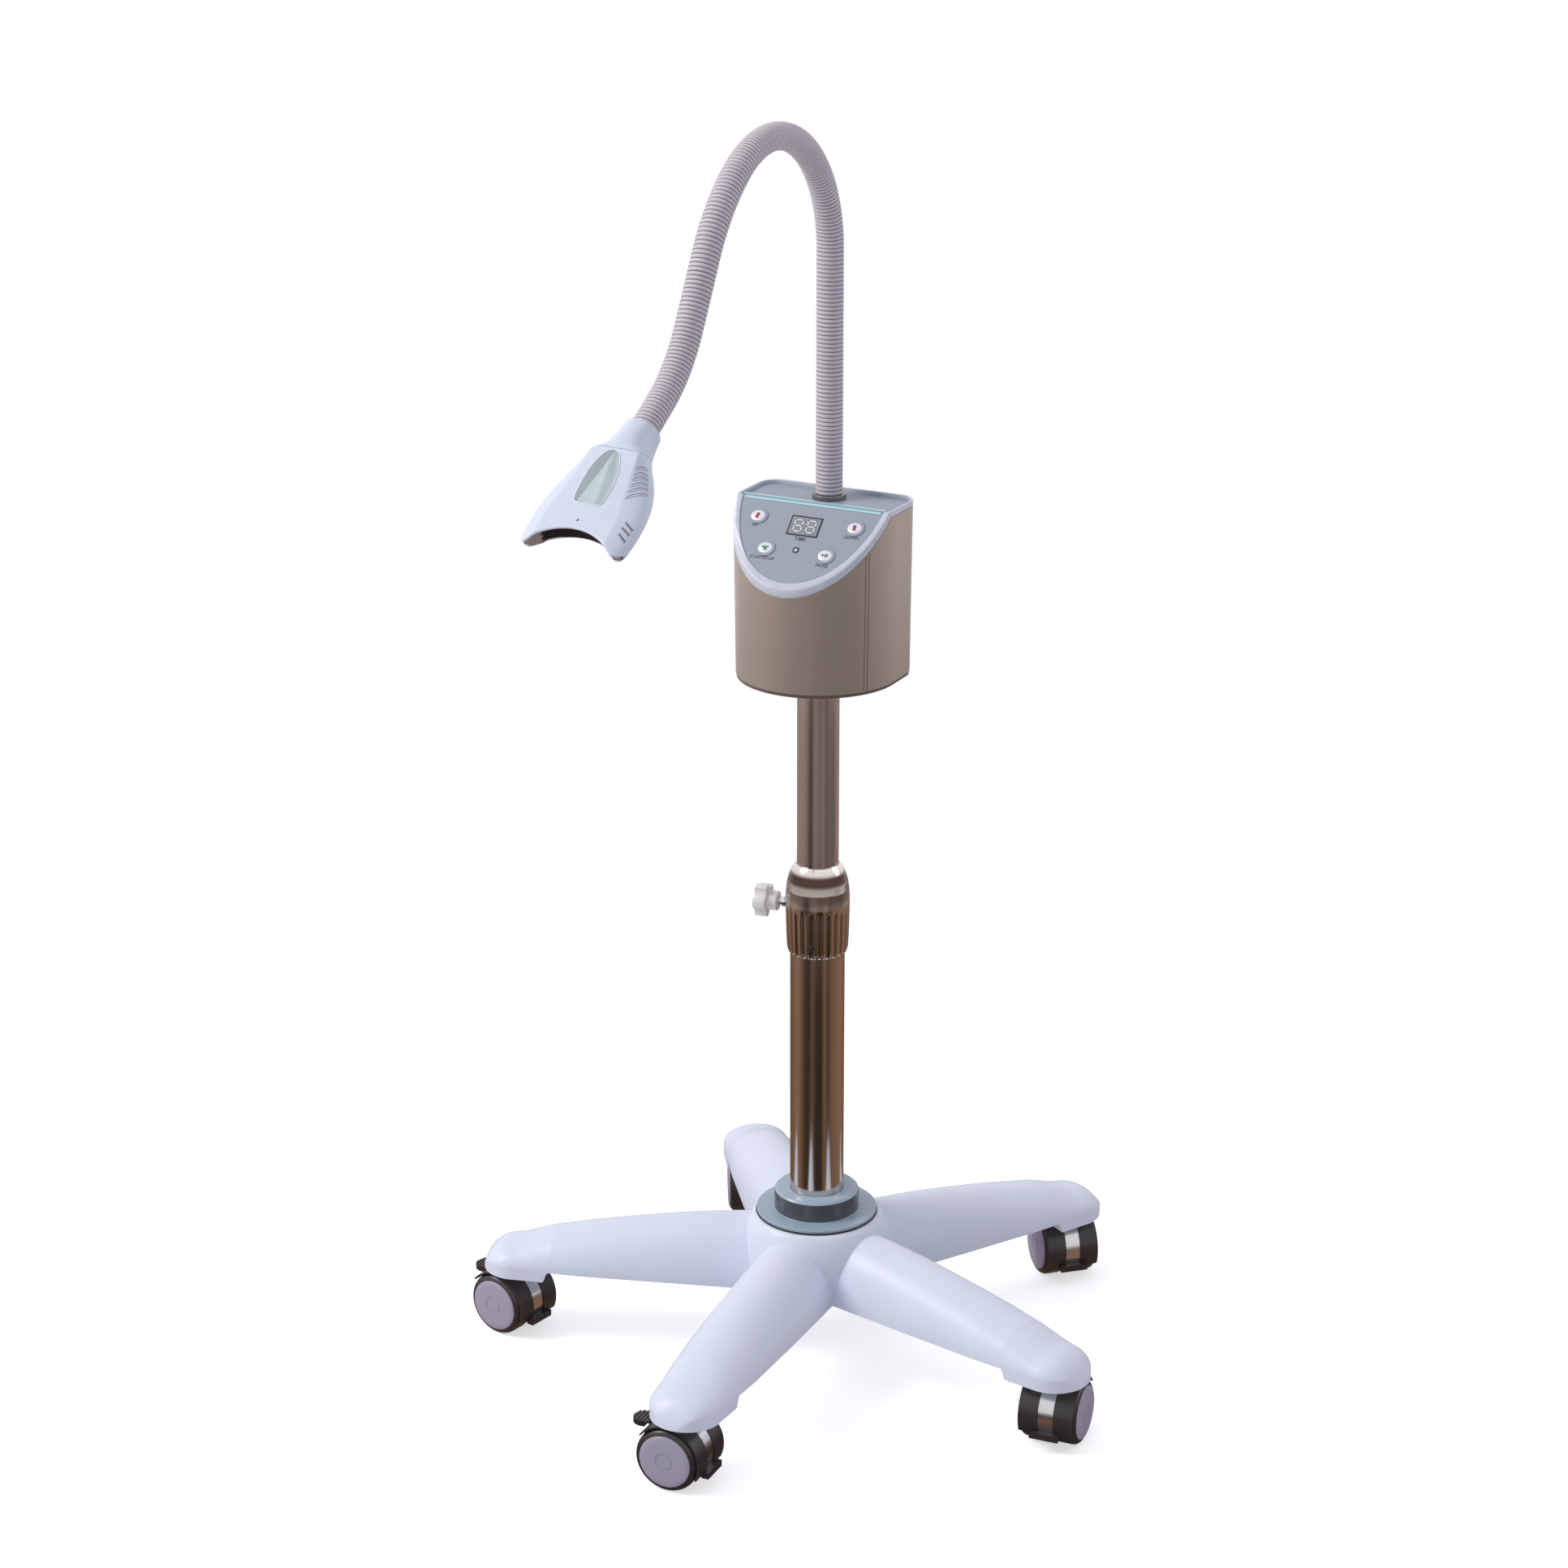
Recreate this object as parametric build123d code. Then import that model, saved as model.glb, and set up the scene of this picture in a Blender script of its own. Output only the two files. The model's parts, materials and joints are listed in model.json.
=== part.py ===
from build123d import *
import math
import os

# Teeth whitening lamp on a five-legged castor base.
# Millimetres, +Z up, origin on the floor under the pole, front of the control box towards -Y.

# Base star
leg_count = 5
base_turn = 272.9
leg_reach = 284.0
leg_root_reach = 30.0
leg_wall = 4.0
leg_hollow_end = 238.0
leg_hollow_start = 40.0
leg_stations = [leg_root_reach, 85.0, 150.0, 220.0, leg_reach]
leg_half_widths = [41.0, 40.5, 40.0, 38.0, 33.0]
leg_tops = [131.0, 129.0, 122.0, 111.0, 93.5]
leg_undersides = [71.5, 72.5, 74.0, 75.0, 76.0]
side_bulge_width_share = 0.74
side_bulge_height_share = 0.60
pad_radius = 31.5
pad_low = 64.0
stem_socket_top = 88.0
hub_low = 70.0
hub_foot_radius = 66.0
hub_wall_radius = 70.0
hub_wall_low = 79.0
hub_wall_top = 112.0
hub_shoulder_radius = 60.0
hub_shoulder_z = 135.0
hub_top = 138.0
hub_top_radius = 57.5
hub_inside_radius = 60.0
hub_inside_top = 124.0
tube_socket_radius = 32.0
tube_socket_low = 94.0
tube_seat_z = 99.0
socket_drain_radius = 8.0
web_thickness = 5.0

# Flange on the hub
flange_radius = 56.0
flange_low = 139.5
flange_top = 142.5
flange_neck_radius = 50.0
ring_radius = 39.4
ring_top = 162.4
ring_edge_round = 2.5

# Castors
castor_pedal_turns = [182.0, 94.0, 133.0, 120.0, 170.0]
castor_trail = 9.0
wheel_radius = 30.0
wheel_axle_z = 30.0
wheel_inner = 8.0
wheel_outer = 27.0
tread_round = 6.0
inner_tread_round = 2.0
disc_radius = 25.5
disc_bulge = 1.6
disc_chamfer_share = 0.9
disc_ring_outer = 8.6
disc_ring_inner = 7.0
disc_ring_depth = 0.5
trunnion_radius = 4.0
trunnion_end = 21.0
running_fit = 0.05
trunnion_end_gap = 1.0
yoke_half_width = 7.3
yoke_radius = 31.6
yoke_floor_gap = 14.0
stem_radius = 5.5
stem_top = 87.0
hood_inner_radius = 31.0
hood_outer_radius = 32.6
hood_half_width = 25.5
hood_front_angle = 205.0
hood_back_angle = 38.0
hood_bridge_low_angle = 74.0
hood_bridge_high_angle = 112.0
bar_half_length = 13.5
bar_low = 14.0
bar_height = 6.0
bar_depth = 3.5
pedal_length = 27.0
pedal_half_width = 9.5
pedal_thickness = 5.0
pedal_pivot_x = 25.0
pedal_pivot_z = 51.5
pedal_pin_radius = 1.8
pedal_lug_half_width = 3.2
pedal_lug_radius = 4.6
pedal_slot_half_width = 3.6
pedal_slot_radius = 6.5
pedal_rib_count = 5
pedal_rib_pitch = 3.4
pedal_rib_width = 1.4
pedal_rib_height = 0.8
pedal_start = 6.5

# Pole
lower_tube_radius = 25.0
lower_tube_wall = 2.0
lower_tube_top = 470.0
collar_low = 400.0
collar_chamfer_z = 405.0
collar_foot_radius = 26.8
collar_low_radius = 28.0
collar_wide_radius = 29.3
collar_wide_z = 452.0
collar_shoulder_z = 474.0
collar_shoulder_radius = 26.3
collar_top = 485.0
collar_top_radius = 20.6
collar_mouth_radius = 19.5
collar_step_z = 470.0
flute_count = 24
flute_radius = 1.4
flute_sink = 0.7
flute_top = 446.0
grub_turn = 281.0
grub_z = 411.0
grub_radius = 2.6
grub_depth = 1.5
upper_tube_radius = 19.0
upper_tube_wall = 1.6
upper_tube_low = 236.0
plug_foot = 14.0
plug_spigot_height = 22.0
plug_rim_radius = 22.93
plug_bore_radius = 6.0
plug_lift = 0.3
bush_low = 436.0
bush_fit = 0.06
clamp_turn = 189.0
clamp_z = 443.0
stud_radius = 3.0
stud_tip = 19.6
stud_hole_clearance = 0.25
stud_nut_start = 31.0
stud_nut_length = 2.5
stud_nut_radius = 4.6
knob_hub_start = 37.5
knob_hub_length = 9.0
knob_hub_radius = 9.0
knob_head_length = 11.5
knob_radius = 15.5
knob_lobes = 5
knob_scallop_radius = 7.5
knob_scallop_place = 19.0
stud_in_knob = 12.0

# Control box
box_half_width = 75.0
box_foot_half_width = 73.5
box_back = 48.0
box_corner = 18.0
box_low = 664.0
box_top = 824.0
bend_y = -11.5
box_wall = 2.6
plate_thickness = 3.0
plate_inset = 0.7
tube_boss_radius = 25.0
tube_boss_height = 26.0
tube_boss_lip = 4.0
tube_boss_lip_radius = 15.0
bezel_face = 5.5
bezel_band = 5.3
rim_face = 2.4
panel_recess = 1.0
panel_thickness = 2.6
top_panel_recess = 3.5
board_depth = 12.0
board_thickness = 1.6
board_half_width = 48.0
board_near = 11.0
board_far = 57.0
post_radius = 2.5
upper_post_x = 27.0
lower_post_x = 10.0
post_inset = 4.0
display_half_width = 14.8
display_half_height = 9.7
display_down = 24.3
display_depth = 0.5
display_gap = 0.15
upper_button_x = 47.0
upper_button_down = 20.0
lower_button_x = 29.0
lower_button_down = 50.5
button_half_width = 6.2
button_half_height = 5.0
button_shoulder = 0.2
button_dome = 1.1
button_flange = 1.5
button_flange_thickness = 1.2
button_flange_gap = 0.05
button_stem_radius = 2.0
button_stem_end = 10.2
button_gap = 0.35
halo_width = 2.6
halo_height = 1.0
lamp_hole_radius = 1.6
lamp_hole_down = 48.3
groove_y = -36.5
groove_width = 0.9
groove_pitch = 3.0
groove_depth = 0.6
supply_x = 46.0
supply_half_width = 18.0
supply_half_length = 32.0
supply_height = 72.0
inlet_z = 700.0
inlet_half_width = 13.8
inlet_half_height = 9.8
inlet_flange = 2.6
inlet_flange_thickness = 2.0
inlet_depth = 20.0
inlet_wall = 1.8
inlet_pocket_depth = 15.0
inlet_pin_pitch = 7.0
inlet_pin_half_width = 1.0
inlet_pin_half_height = 2.0
screw_x = 52.0
screw_back_y = 34.0
screw_front_y = -34.0
screw_radius = 2.0
screw_length = 12.0
screw_head_radius = 3.8
screw_head_height = 2.0
screw_post_radius = 5.0
screw_post_height = 16.0
front_rib_reach = 65.0

# Gooseneck
neck_y = 20.0
neck_low = 825.0
riser_length = 110.0
link_end = 215.0
arch_end = 558.0
crown_radius = 113.5
crown_turn = 123.0
shoulder_radius = 182.0
shoulder_turn = 27.0
slope_length = 62.5
return_radius = 147.2
return_turn = 25.7
neck_tail = 31.0
neck_insert = 10.0
sway_middle = 560.0
sway_middle_turn = -1.4
sway_end_turn = 2.9
rib_pitch = 3.65
crest_radius = 12.0
valley_radius = 11.2
neck_bore_radius = 8.0
rib_radius_list = [valley_radius, crest_radius, crest_radius, valley_radius]
rib_place_shares = [0.12, 0.34, 0.66, 0.88]
walk_share = 0.25
nut_radius = 15.0
nut_shank_radius = 10.5
nut_drop = 8.0

# Lamp head
head_roll = -1.0
cone_length = 25.0
insert_bore_radius = 11.3
insert_end_gap = 0.05
wire_bore_radius = 7.5
head_stations = [-cone_length, 0.0, 20.0, 45.0, 75.0, 107.0]
head_half_widths = [15.6, 19.8, 31.6, 43.3, 48.5, 46.5]
head_tops = [15.6, 19.8, 19.3, 16.5, 14.5, 12.5]
head_bottoms = [15.6, 19.8, 17.0, 11.5, 6.0, 4.5]
head_round_exponents = [2.0, 2.0, 2.2, 2.4, 2.4, 2.4]
head_widest = max(head_half_widths)
head_tallest = max(head_tops)
outline_points = 20
head_wall = 2.4
head_back_wall = 3.0
seam_shift = 1.5
seam_lean = 25.6
mouth_near = 91.0
mouth_radius = 57.0
lens_back_radius = 63.1
lens_front_radius = 60.6
lens_half_width = 30.0
lens_low = -2.0
lens_high = 8.0
led_board_near = 30.0
led_board_far = 60.0
led_board_half_width = 17.0
led_board_low = -1.0
led_board_thickness = 1.6
led_post_radius = 3.0
led_post_near = 36.0
led_post_far = 54.0
led_post_side = 13.0
led_bar_length = 4.0
led_bar_height = 2.2
window_tip = 13.5
window_far = 67.0
window_corner_reach = 64.0
window_corner_half = 13.0
window_side_reaches = [18.5, 26.0, 34.0, 46.0]
window_side_halves = [7.2, 10.6, 12.7, 13.8]
window_tip_height = 19.6
window_far_height = 15.0
window_sink = 1.9
window_thickness = 1.6
head_screw_u = 34.0
head_screw_side = 24.0
head_screw_radius = 1.5
head_screw_length = 13.0
head_screw_head_radius = 3.0
head_screw_head_height = 2.0
head_screw_head_low = 9.0
head_boss_radius = 5.5

FROM_BASE = (Align.CENTER, Align.CENTER, Align.MIN)
BEND_SHARE = math.sqrt(2) - 1


def disc_stack(radius, low, high):
    return Pos(0, 0, low) * Cylinder(radius, high - low, align=FROM_BASE)


def pipe(outer, inner, low, high):
    return disc_stack(outer, low, high) - disc_stack(inner, low, high)


def block(x0, x1, y0, y1, z0, z1):
    return Pos((x0 + x1) / 2, (y0 + y1) / 2, (z0 + z1) / 2) * Box(x1 - x0, y1 - y0, z1 - z0)


def turned(points):
    # spin a closed outline of (radius, height) points about the Z axis
    outline = make_face(Polyline(*[(r, 0, z) for r, z in points], close=True))
    return revolve(outline, Axis.Z, 360)


def leg_value(values, reach):
    # straight-line reading of a leg table between its stations
    for i in range(len(leg_stations) - 1):
        near = leg_stations[i]
        far = leg_stations[i + 1]
        if reach <= far:
            share = (reach - near) / (far - near)
            return values[i] + (values[i + 1] - values[i]) * share
    return values[-1]


def leg_outline(reach, inset, drop):
    # arched cross section with a soft ridge, on a plane square to the leg
    half = leg_value(leg_half_widths, reach) - inset
    low = leg_value(leg_undersides, reach) - drop
    top = leg_value(leg_tops, reach) - inset
    side = side_bulge_width_share * half
    mid = low + side_bulge_height_share * (top - low)
    edges = [
        Line((reach, -half, low), (reach, half, low)),
        ThreePointArc((reach, half, low), (reach, side, mid), (reach, 0, top)),
        ThreePointArc((reach, 0, top), (reach, -side, mid), (reach, -half, low)),
    ]
    return make_face(edges)


def leg_tip():
    half = leg_half_widths[-1]
    low = leg_undersides[-1]
    top = leg_tops[-1]
    mid = low + side_bulge_height_share * (top - low)
    edges = [
        Line((0, 0, low), (half, 0, low)),
        ThreePointArc((half, 0, low), (side_bulge_width_share * half, 0, mid), (0, 0, top)),
        Line((0, 0, top), (0, 0, low)),
    ]
    return Pos(leg_reach, 0, 0) * revolve(make_face(edges), Axis.Z, 360)


def one_leg():
    body = loft([leg_outline(reach, 0, 0) for reach in leg_stations])
    body += leg_tip()
    body += Pos(leg_reach, 0, 0) * disc_stack(pad_radius, pad_low, leg_undersides[-1] + leg_wall)
    hollow_stations = [leg_hollow_start] + leg_stations[1:-1] + [leg_hollow_end]
    body -= loft([leg_outline(reach, leg_wall, leg_wall) for reach in hollow_stations])
    body -= Pos(leg_reach, 0, 0) * disc_stack(stem_radius + running_fit, pad_low, stem_socket_top)
    return body


def star_base():
    hub = turned([
        (0, hub_low), (hub_foot_radius, hub_low), (hub_wall_radius, hub_wall_low),
        (hub_wall_radius, hub_wall_top), (hub_shoulder_radius, hub_shoulder_z),
        (hub_top_radius, hub_top), (0, hub_top),
    ])
    inside = disc_stack(hub_inside_radius, hub_low - leg_wall, hub_inside_top)
    star = hub - inside
    for i in range(leg_count):
        star += Rot(0, 0, base_turn + i * 360 / leg_count) * one_leg()
    star -= disc_stack(hub_inside_radius, hub_low - leg_wall, hub_inside_top)
    for i in range(leg_count):
        web = block(tube_socket_radius - leg_wall, hub_inside_radius + leg_wall / 2,
                    -web_thickness / 2, web_thickness / 2, tube_socket_low, hub_inside_top + leg_wall)
        star += Rot(0, 0, base_turn + (i + 0.5) * 360 / leg_count) * web
    star += disc_stack(tube_socket_radius, tube_socket_low, hub_inside_top + leg_wall)
    star -= disc_stack(lower_tube_radius, tube_seat_z, hub_top + leg_wall)
    star -= disc_stack(socket_drain_radius, tube_socket_low - leg_wall, tube_seat_z + leg_wall)
    return star


def base_flange():
    inner = lower_tube_radius
    flange = turned([
        (inner, hub_top), (flange_neck_radius, hub_top), (flange_neck_radius, flange_low),
        (flange_radius, flange_low), (flange_radius, flange_top), (ring_radius, flange_top),
        (ring_radius, ring_top - ring_edge_round), (ring_radius - ring_edge_round, ring_top),
        (inner, ring_top),
    ])
    return flange


def at_castor(shape, index):
    turn = math.radians(base_turn + index * 360 / leg_count)
    place = Pos(leg_reach * math.cos(turn), leg_reach * math.sin(turn), 0)
    return place * Rot(0, 0, castor_pedal_turns[index]) * shape


def across(radius, inner, outer, x, z):
    # round bar along the local Y axis from inner to outer
    return Pos(x, inner, z) * Rot(-90, 0, 0) * Cylinder(radius, outer - inner, align=FROM_BASE)


def sector(radius, start, end):
    # pie slice about the wheel axle in the local XZ plane, as a closed outline
    first = math.radians(start)
    last = math.radians(end)
    middle = (first + last) / 2
    x = castor_trail
    z = wheel_axle_z
    points = [(x + radius * math.cos(a), 0, z + radius * math.sin(a)) for a in (first, middle, last)]
    edges = [
        Line((x, 0, z), points[0]),
        ThreePointArc(points[0], points[1], points[2]),
        Line(points[2], (x, 0, z)),
    ]
    return make_face(edges)


def slice_of(radius, start, end, half_width):
    return extrude(sector(radius, start, end), amount=half_width, both=True)


def castor_yoke():
    x = castor_trail
    web = across(yoke_radius, -yoke_half_width, yoke_half_width, x, wheel_axle_z)
    web -= block(x - 2 * yoke_radius, x + 2 * yoke_radius, -wheel_outer, wheel_outer,
                 -yoke_radius, yoke_floor_gap)
    web -= slice_of(hood_outer_radius + leg_wall, hood_bridge_low_angle, hood_bridge_high_angle, wheel_outer) \
        - slice_of(hood_inner_radius, hood_bridge_low_angle, hood_bridge_high_angle, wheel_outer)
    slot = block(x, x + 2 * yoke_radius, -pedal_slot_half_width, pedal_slot_half_width,
                 pedal_pivot_z - pedal_slot_radius, pedal_pivot_z + 2 * pedal_slot_radius)
    slot &= across(pedal_slot_radius, -wheel_outer, wheel_outer, pedal_pivot_x, pedal_pivot_z) \
        + block(pedal_pivot_x, x + 2 * yoke_radius, -wheel_outer, wheel_outer,
                pedal_pivot_z - pedal_slot_radius, pedal_pivot_z + 2 * pedal_slot_radius)
    web -= slot
    web += across(pedal_pin_radius, -yoke_half_width, yoke_half_width, pedal_pivot_x, pedal_pivot_z)
    web += across(trunnion_radius, -trunnion_end, trunnion_end, x, wheel_axle_z)
    web += disc_stack(stem_radius, wheel_axle_z, stem_top)
    return web


def castor_hood():
    arcs = slice_of(hood_outer_radius, hood_back_angle, hood_front_angle, hood_half_width)
    arcs -= slice_of(hood_inner_radius, hood_back_angle - 1, hood_front_angle + 1, wheel_outer)
    centre = slice_of(hood_outer_radius + leg_wall, 0, hood_bridge_low_angle, yoke_half_width) \
        + slice_of(hood_outer_radius + leg_wall, hood_bridge_high_angle, 270, yoke_half_width)
    hood = arcs - centre
    hood -= disc_stack(stem_radius, wheel_axle_z, stem_top)
    front = castor_trail - hood_outer_radius
    bar = block(front - bar_depth, front + bar_depth, -bar_half_length, bar_half_length,
                bar_low, bar_low + bar_height)
    bar -= across(yoke_radius, -wheel_outer, wheel_outer, castor_trail, wheel_axle_z)
    ears = block(front, front + bar_depth, -bar_half_length, bar_half_length, bar_low, wheel_axle_z)
    ears -= across(hood_inner_radius, -wheel_outer, wheel_outer, castor_trail, wheel_axle_z)
    ears &= across(hood_outer_radius, -wheel_outer, wheel_outer, castor_trail, wheel_axle_z)
    ears -= block(front - bar_depth, castor_trail, -yoke_half_width, yoke_half_width, 0, 2 * wheel_axle_z)
    return hood + bar + ears


def castor_wheel(side):
    wheel = across(wheel_radius, wheel_inner, wheel_outer, castor_trail, wheel_axle_z)
    rims = wheel.edges().filter_by(GeomType.CIRCLE).sort_by(Axis.Y)
    wheel = fillet(rims[-1], tread_round)
    wheel = fillet(wheel.edges().filter_by(GeomType.CIRCLE).sort_by(Axis.Y)[0], inner_tread_round)
    disc = across(disc_radius, wheel_inner, wheel_outer + disc_bulge, castor_trail, wheel_axle_z)
    disc = chamfer(disc.edges().filter_by(GeomType.CIRCLE).sort_by(Axis.Y)[-1], disc_bulge * disc_chamfer_share)
    wheel += disc
    face_y = wheel_outer + disc_bulge
    ring = across(disc_ring_outer, face_y - disc_ring_depth, face_y, castor_trail, wheel_axle_z) \
        - across(disc_ring_inner, face_y - disc_ring_depth, face_y, castor_trail, wheel_axle_z)
    wheel -= ring
    wheel -= across(trunnion_radius + running_fit, 0, trunnion_end + trunnion_end_gap,
                    castor_trail, wheel_axle_z)
    if side < 0:
        wheel = mirror(wheel, about=Plane.XZ)
    return wheel


def castor_pedal():
    lug = across(pedal_lug_radius, -pedal_lug_half_width, pedal_lug_half_width, pedal_pivot_x, pedal_pivot_z)
    start = pedal_pivot_x + pedal_start
    tip = pedal_pivot_x + pedal_length - pedal_half_width
    low = pedal_pivot_z - pedal_thickness / 2
    arm = block(pedal_pivot_x, start + pedal_half_width, -pedal_lug_half_width, pedal_lug_half_width,
                low, low + pedal_thickness)
    plate = block(start, tip, -pedal_half_width, pedal_half_width, low, low + pedal_thickness)
    plate += Pos(tip, 0, low) * Cylinder(pedal_half_width, pedal_thickness, align=FROM_BASE)
    plate -= across(hood_outer_radius + disc_bulge, -wheel_outer, wheel_outer, castor_trail, wheel_axle_z)
    ribs_start = tip + pedal_half_width - pedal_rib_pitch * pedal_rib_count
    ribs = []
    for i in range(pedal_rib_count):
        x = ribs_start + i * pedal_rib_pitch
        ribs.append(block(x, x + pedal_rib_width, -pedal_half_width, pedal_half_width,
                          low + pedal_thickness, low + pedal_thickness + pedal_rib_height))
    band = block(start, tip, -pedal_half_width, pedal_half_width, low, low + 2 * pedal_thickness) \
        + Pos(tip, 0, low) * Cylinder(pedal_half_width, 2 * pedal_thickness, align=FROM_BASE)
    pedal = lug + arm + plate
    for rib in ribs:
        pedal += rib & band
    pedal -= across(pedal_pin_radius + running_fit, -wheel_outer, wheel_outer, pedal_pivot_x, pedal_pivot_z)
    return pedal


def outward(radius, start, length):
    # round bar along the clamp axis, square to the pole
    bar = Pos(start, 0, clamp_z) * Rot(0, 90, 0) * Cylinder(radius, length, align=FROM_BASE)
    return Rot(0, 0, clamp_turn) * bar


def stud_hole():
    return outward(stud_radius + stud_hole_clearance, 0, knob_hub_start)


def lower_tube():
    tube = pipe(lower_tube_radius, lower_tube_radius - lower_tube_wall, tube_seat_z, lower_tube_top)
    return tube - stud_hole()


def collar():
    body = turned([
        (lower_tube_radius, collar_low), (collar_foot_radius, collar_low),
        (collar_low_radius, collar_chamfer_z), (collar_wide_radius, collar_wide_z),
        (collar_shoulder_radius, collar_shoulder_z), (collar_top_radius, collar_top),
        (collar_mouth_radius, collar_top), (collar_mouth_radius, collar_step_z),
        (lower_tube_radius, collar_step_z),
    ])
    for i in range(flute_count):
        flute = Pos(collar_wide_radius - flute_sink + flute_radius, 0, 0) \
            * disc_stack(flute_radius, collar_low, flute_top)
        body -= Rot(0, 0, (i + 0.5) * 360 / flute_count) * flute
    body -= stud_hole()
    grub = Pos(collar_low_radius - grub_depth, 0, grub_z) * Rot(0, 90, 0) \
        * Cylinder(grub_radius, 2 * grub_depth, align=FROM_BASE)
    return body - Rot(0, 0, grub_turn) * grub


def guide_bush():
    bush = pipe(lower_tube_radius - lower_tube_wall, upper_tube_radius + bush_fit, bush_low, lower_tube_top)
    return bush - stud_hole()


def clamp_stud():
    length = knob_hub_start + stud_in_knob - stud_tip
    return outward(stud_radius, stud_tip, length) + outward(stud_nut_radius, stud_nut_start, stud_nut_length)


def clamp_knob():
    head_start = knob_hub_start + knob_hub_length
    knob = outward(knob_hub_radius, knob_hub_start, knob_hub_length)
    knob += outward(knob_radius, head_start, knob_head_length)
    for i in range(knob_lobes):
        turn = math.radians((i + 0.5) * 360 / knob_lobes)
        place = Pos(head_start, knob_scallop_place * math.cos(turn), clamp_z + knob_scallop_place * math.sin(turn))
        scallop = place * Rot(0, 90, 0) * Cylinder(knob_scallop_radius, knob_head_length, align=FROM_BASE)
        knob -= Rot(0, 0, clamp_turn) * scallop
    return knob - outward(stud_radius, knob_hub_start, stud_in_knob)


def upper_tube():
    top = box_low + plate_thickness + tube_boss_height - tube_boss_lip
    return pipe(upper_tube_radius, upper_tube_radius - upper_tube_wall, upper_tube_low, top)


def glide_plug():
    spigot = upper_tube_radius - upper_tube_wall - running_fit
    rim_top = upper_tube_low - plug_lift
    plug = disc_stack(plug_rim_radius, rim_top - plug_foot, rim_top)
    plug += disc_stack(spigot, rim_top, rim_top + plug_spigot_height)
    return plug - disc_stack(plug_bore_radius, rim_top - plug_foot, rim_top + plug_spigot_height)


def box_outline(half_width, inset, z):
    # round front, flat back with two rounded corners
    half = half_width - inset
    back = box_back - inset
    corner = box_corner - inset
    side = back - corner
    inner = half - corner
    diagonal = corner * math.sqrt(0.5)
    edges = [
        Line((half, 0, z), (half, side, z)),
        ThreePointArc((half, side, z), (inner + diagonal, side + diagonal, z), (inner, back, z)),
        Line((inner, back, z), (-inner, back, z)),
        ThreePointArc((-inner, back, z), (-inner - diagonal, side + diagonal, z), (-half, side, z)),
        Line((-half, side, z), (-half, 0, z)),
        ThreePointArc((-half, 0, z), (0, -half, z), (half, 0, z)),
    ]
    return make_face(edges)


def box_prism(inset, low, high):
    return extrude(box_outline(box_half_width, inset, low), amount=high - low)


def box_hull():
    low = box_outline(box_foot_half_width, 0, box_low)
    high = box_outline(box_half_width, 0, box_top)
    return loft([low, high], ruled=True)


def under_top(drop):
    # everything below the flat top and the sloped front, lowered square to each by drop
    front = -2 * box_half_width
    back = 2 * box_back
    low = box_low - 2 * screw_length
    bend = bend_y + drop * BEND_SHARE
    top = box_top - drop
    outline = Polyline((0, back, low), (0, back, top), (0, bend, top), (0, front, top + front - bend),
                       (0, front, low), close=True)
    return extrude(make_face(outline), amount=2 * box_half_width, both=True)


def ahead_of_bend():
    return block(-2 * box_half_width, 2 * box_half_width, -2 * box_half_width, bend_y, box_low, 2 * box_top)


def bezel():
    band = (box_hull() & under_top(0)) - under_top(bezel_band)
    wide = box_prism(bezel_face, box_low, 2 * box_top) & ahead_of_bend()
    narrow = box_prism(rim_face, box_low, 2 * box_top) - ahead_of_bend()
    return band - wide - narrow


def housing():
    body = box_hull() & under_top(bezel_band)
    body -= block(-2 * box_half_width, 2 * box_half_width, -2 * box_half_width, 2 * box_back,
                  box_low - screw_length, box_low + plate_thickness)
    inside = loft([box_outline(box_foot_half_width, box_wall, box_low),
                   box_outline(box_half_width, box_wall, box_top)], ruled=True)
    body -= inside
    for x in (-screw_x, screw_x):
        for y in (screw_back_y, screw_front_y):
            post = Pos(x, y, 0) * disc_stack(screw_post_radius, box_low + plate_thickness,
                                             box_low + plate_thickness + screw_post_height)
            side = 1 if x > 0 else -1
            reach = box_half_width if y > 0 else front_rib_reach
            rib = block(min(x, side * reach), max(x, side * reach), y - plate_thickness / 2,
                        y + plate_thickness / 2, box_low + plate_thickness,
                        box_low + plate_thickness + screw_post_height)
            body += post + (rib & (box_hull()))
            body -= Pos(x, y, 0) * disc_stack(screw_radius, box_low, box_low + screw_length + screw_head_height)
    for side in (-1, 1):
        for step in (-0.5, 0.5):
            y = groove_y + step * groove_pitch
            skin = box_hull() - loft([box_outline(box_foot_half_width, groove_depth, box_low),
                                      box_outline(box_half_width, groove_depth, box_top)], ruled=True)
            cut = block(min(0, side * box_half_width), max(0, side * box_half_width),
                        y - groove_width / 2, y + groove_width / 2, box_low, box_top)
            body -= cut & skin
    body -= block(-inlet_half_width, inlet_half_width, box_back - 2 * box_wall, box_back + box_wall,
                  inlet_z - inlet_half_height, inlet_z + inlet_half_height)
    return body


def bottom_plate():
    plate = extrude(box_outline(box_foot_half_width, plate_inset, box_low), amount=plate_thickness)
    boss_top = box_low + plate_thickness + tube_boss_height
    plate += disc_stack(tube_boss_radius, box_low, boss_top)
    plate -= disc_stack(upper_tube_radius, box_low, boss_top - tube_boss_lip)
    plate -= disc_stack(tube_boss_lip_radius, box_low, boss_top)
    for x in (-screw_x, screw_x):
        for y in (screw_back_y, screw_front_y):
            plate -= Pos(x, y, 0) * disc_stack(screw_radius, box_low, box_low + plate_thickness)
    return plate


def box_screws():
    one = disc_stack(screw_head_radius, box_low - screw_head_height, box_low)
    one += disc_stack(screw_radius, box_low, box_low + screw_length)
    return Compound(children=[Pos(x, y, 0) * one for x in (-screw_x, screw_x)
                              for y in (screw_back_y, screw_front_y)])


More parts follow.
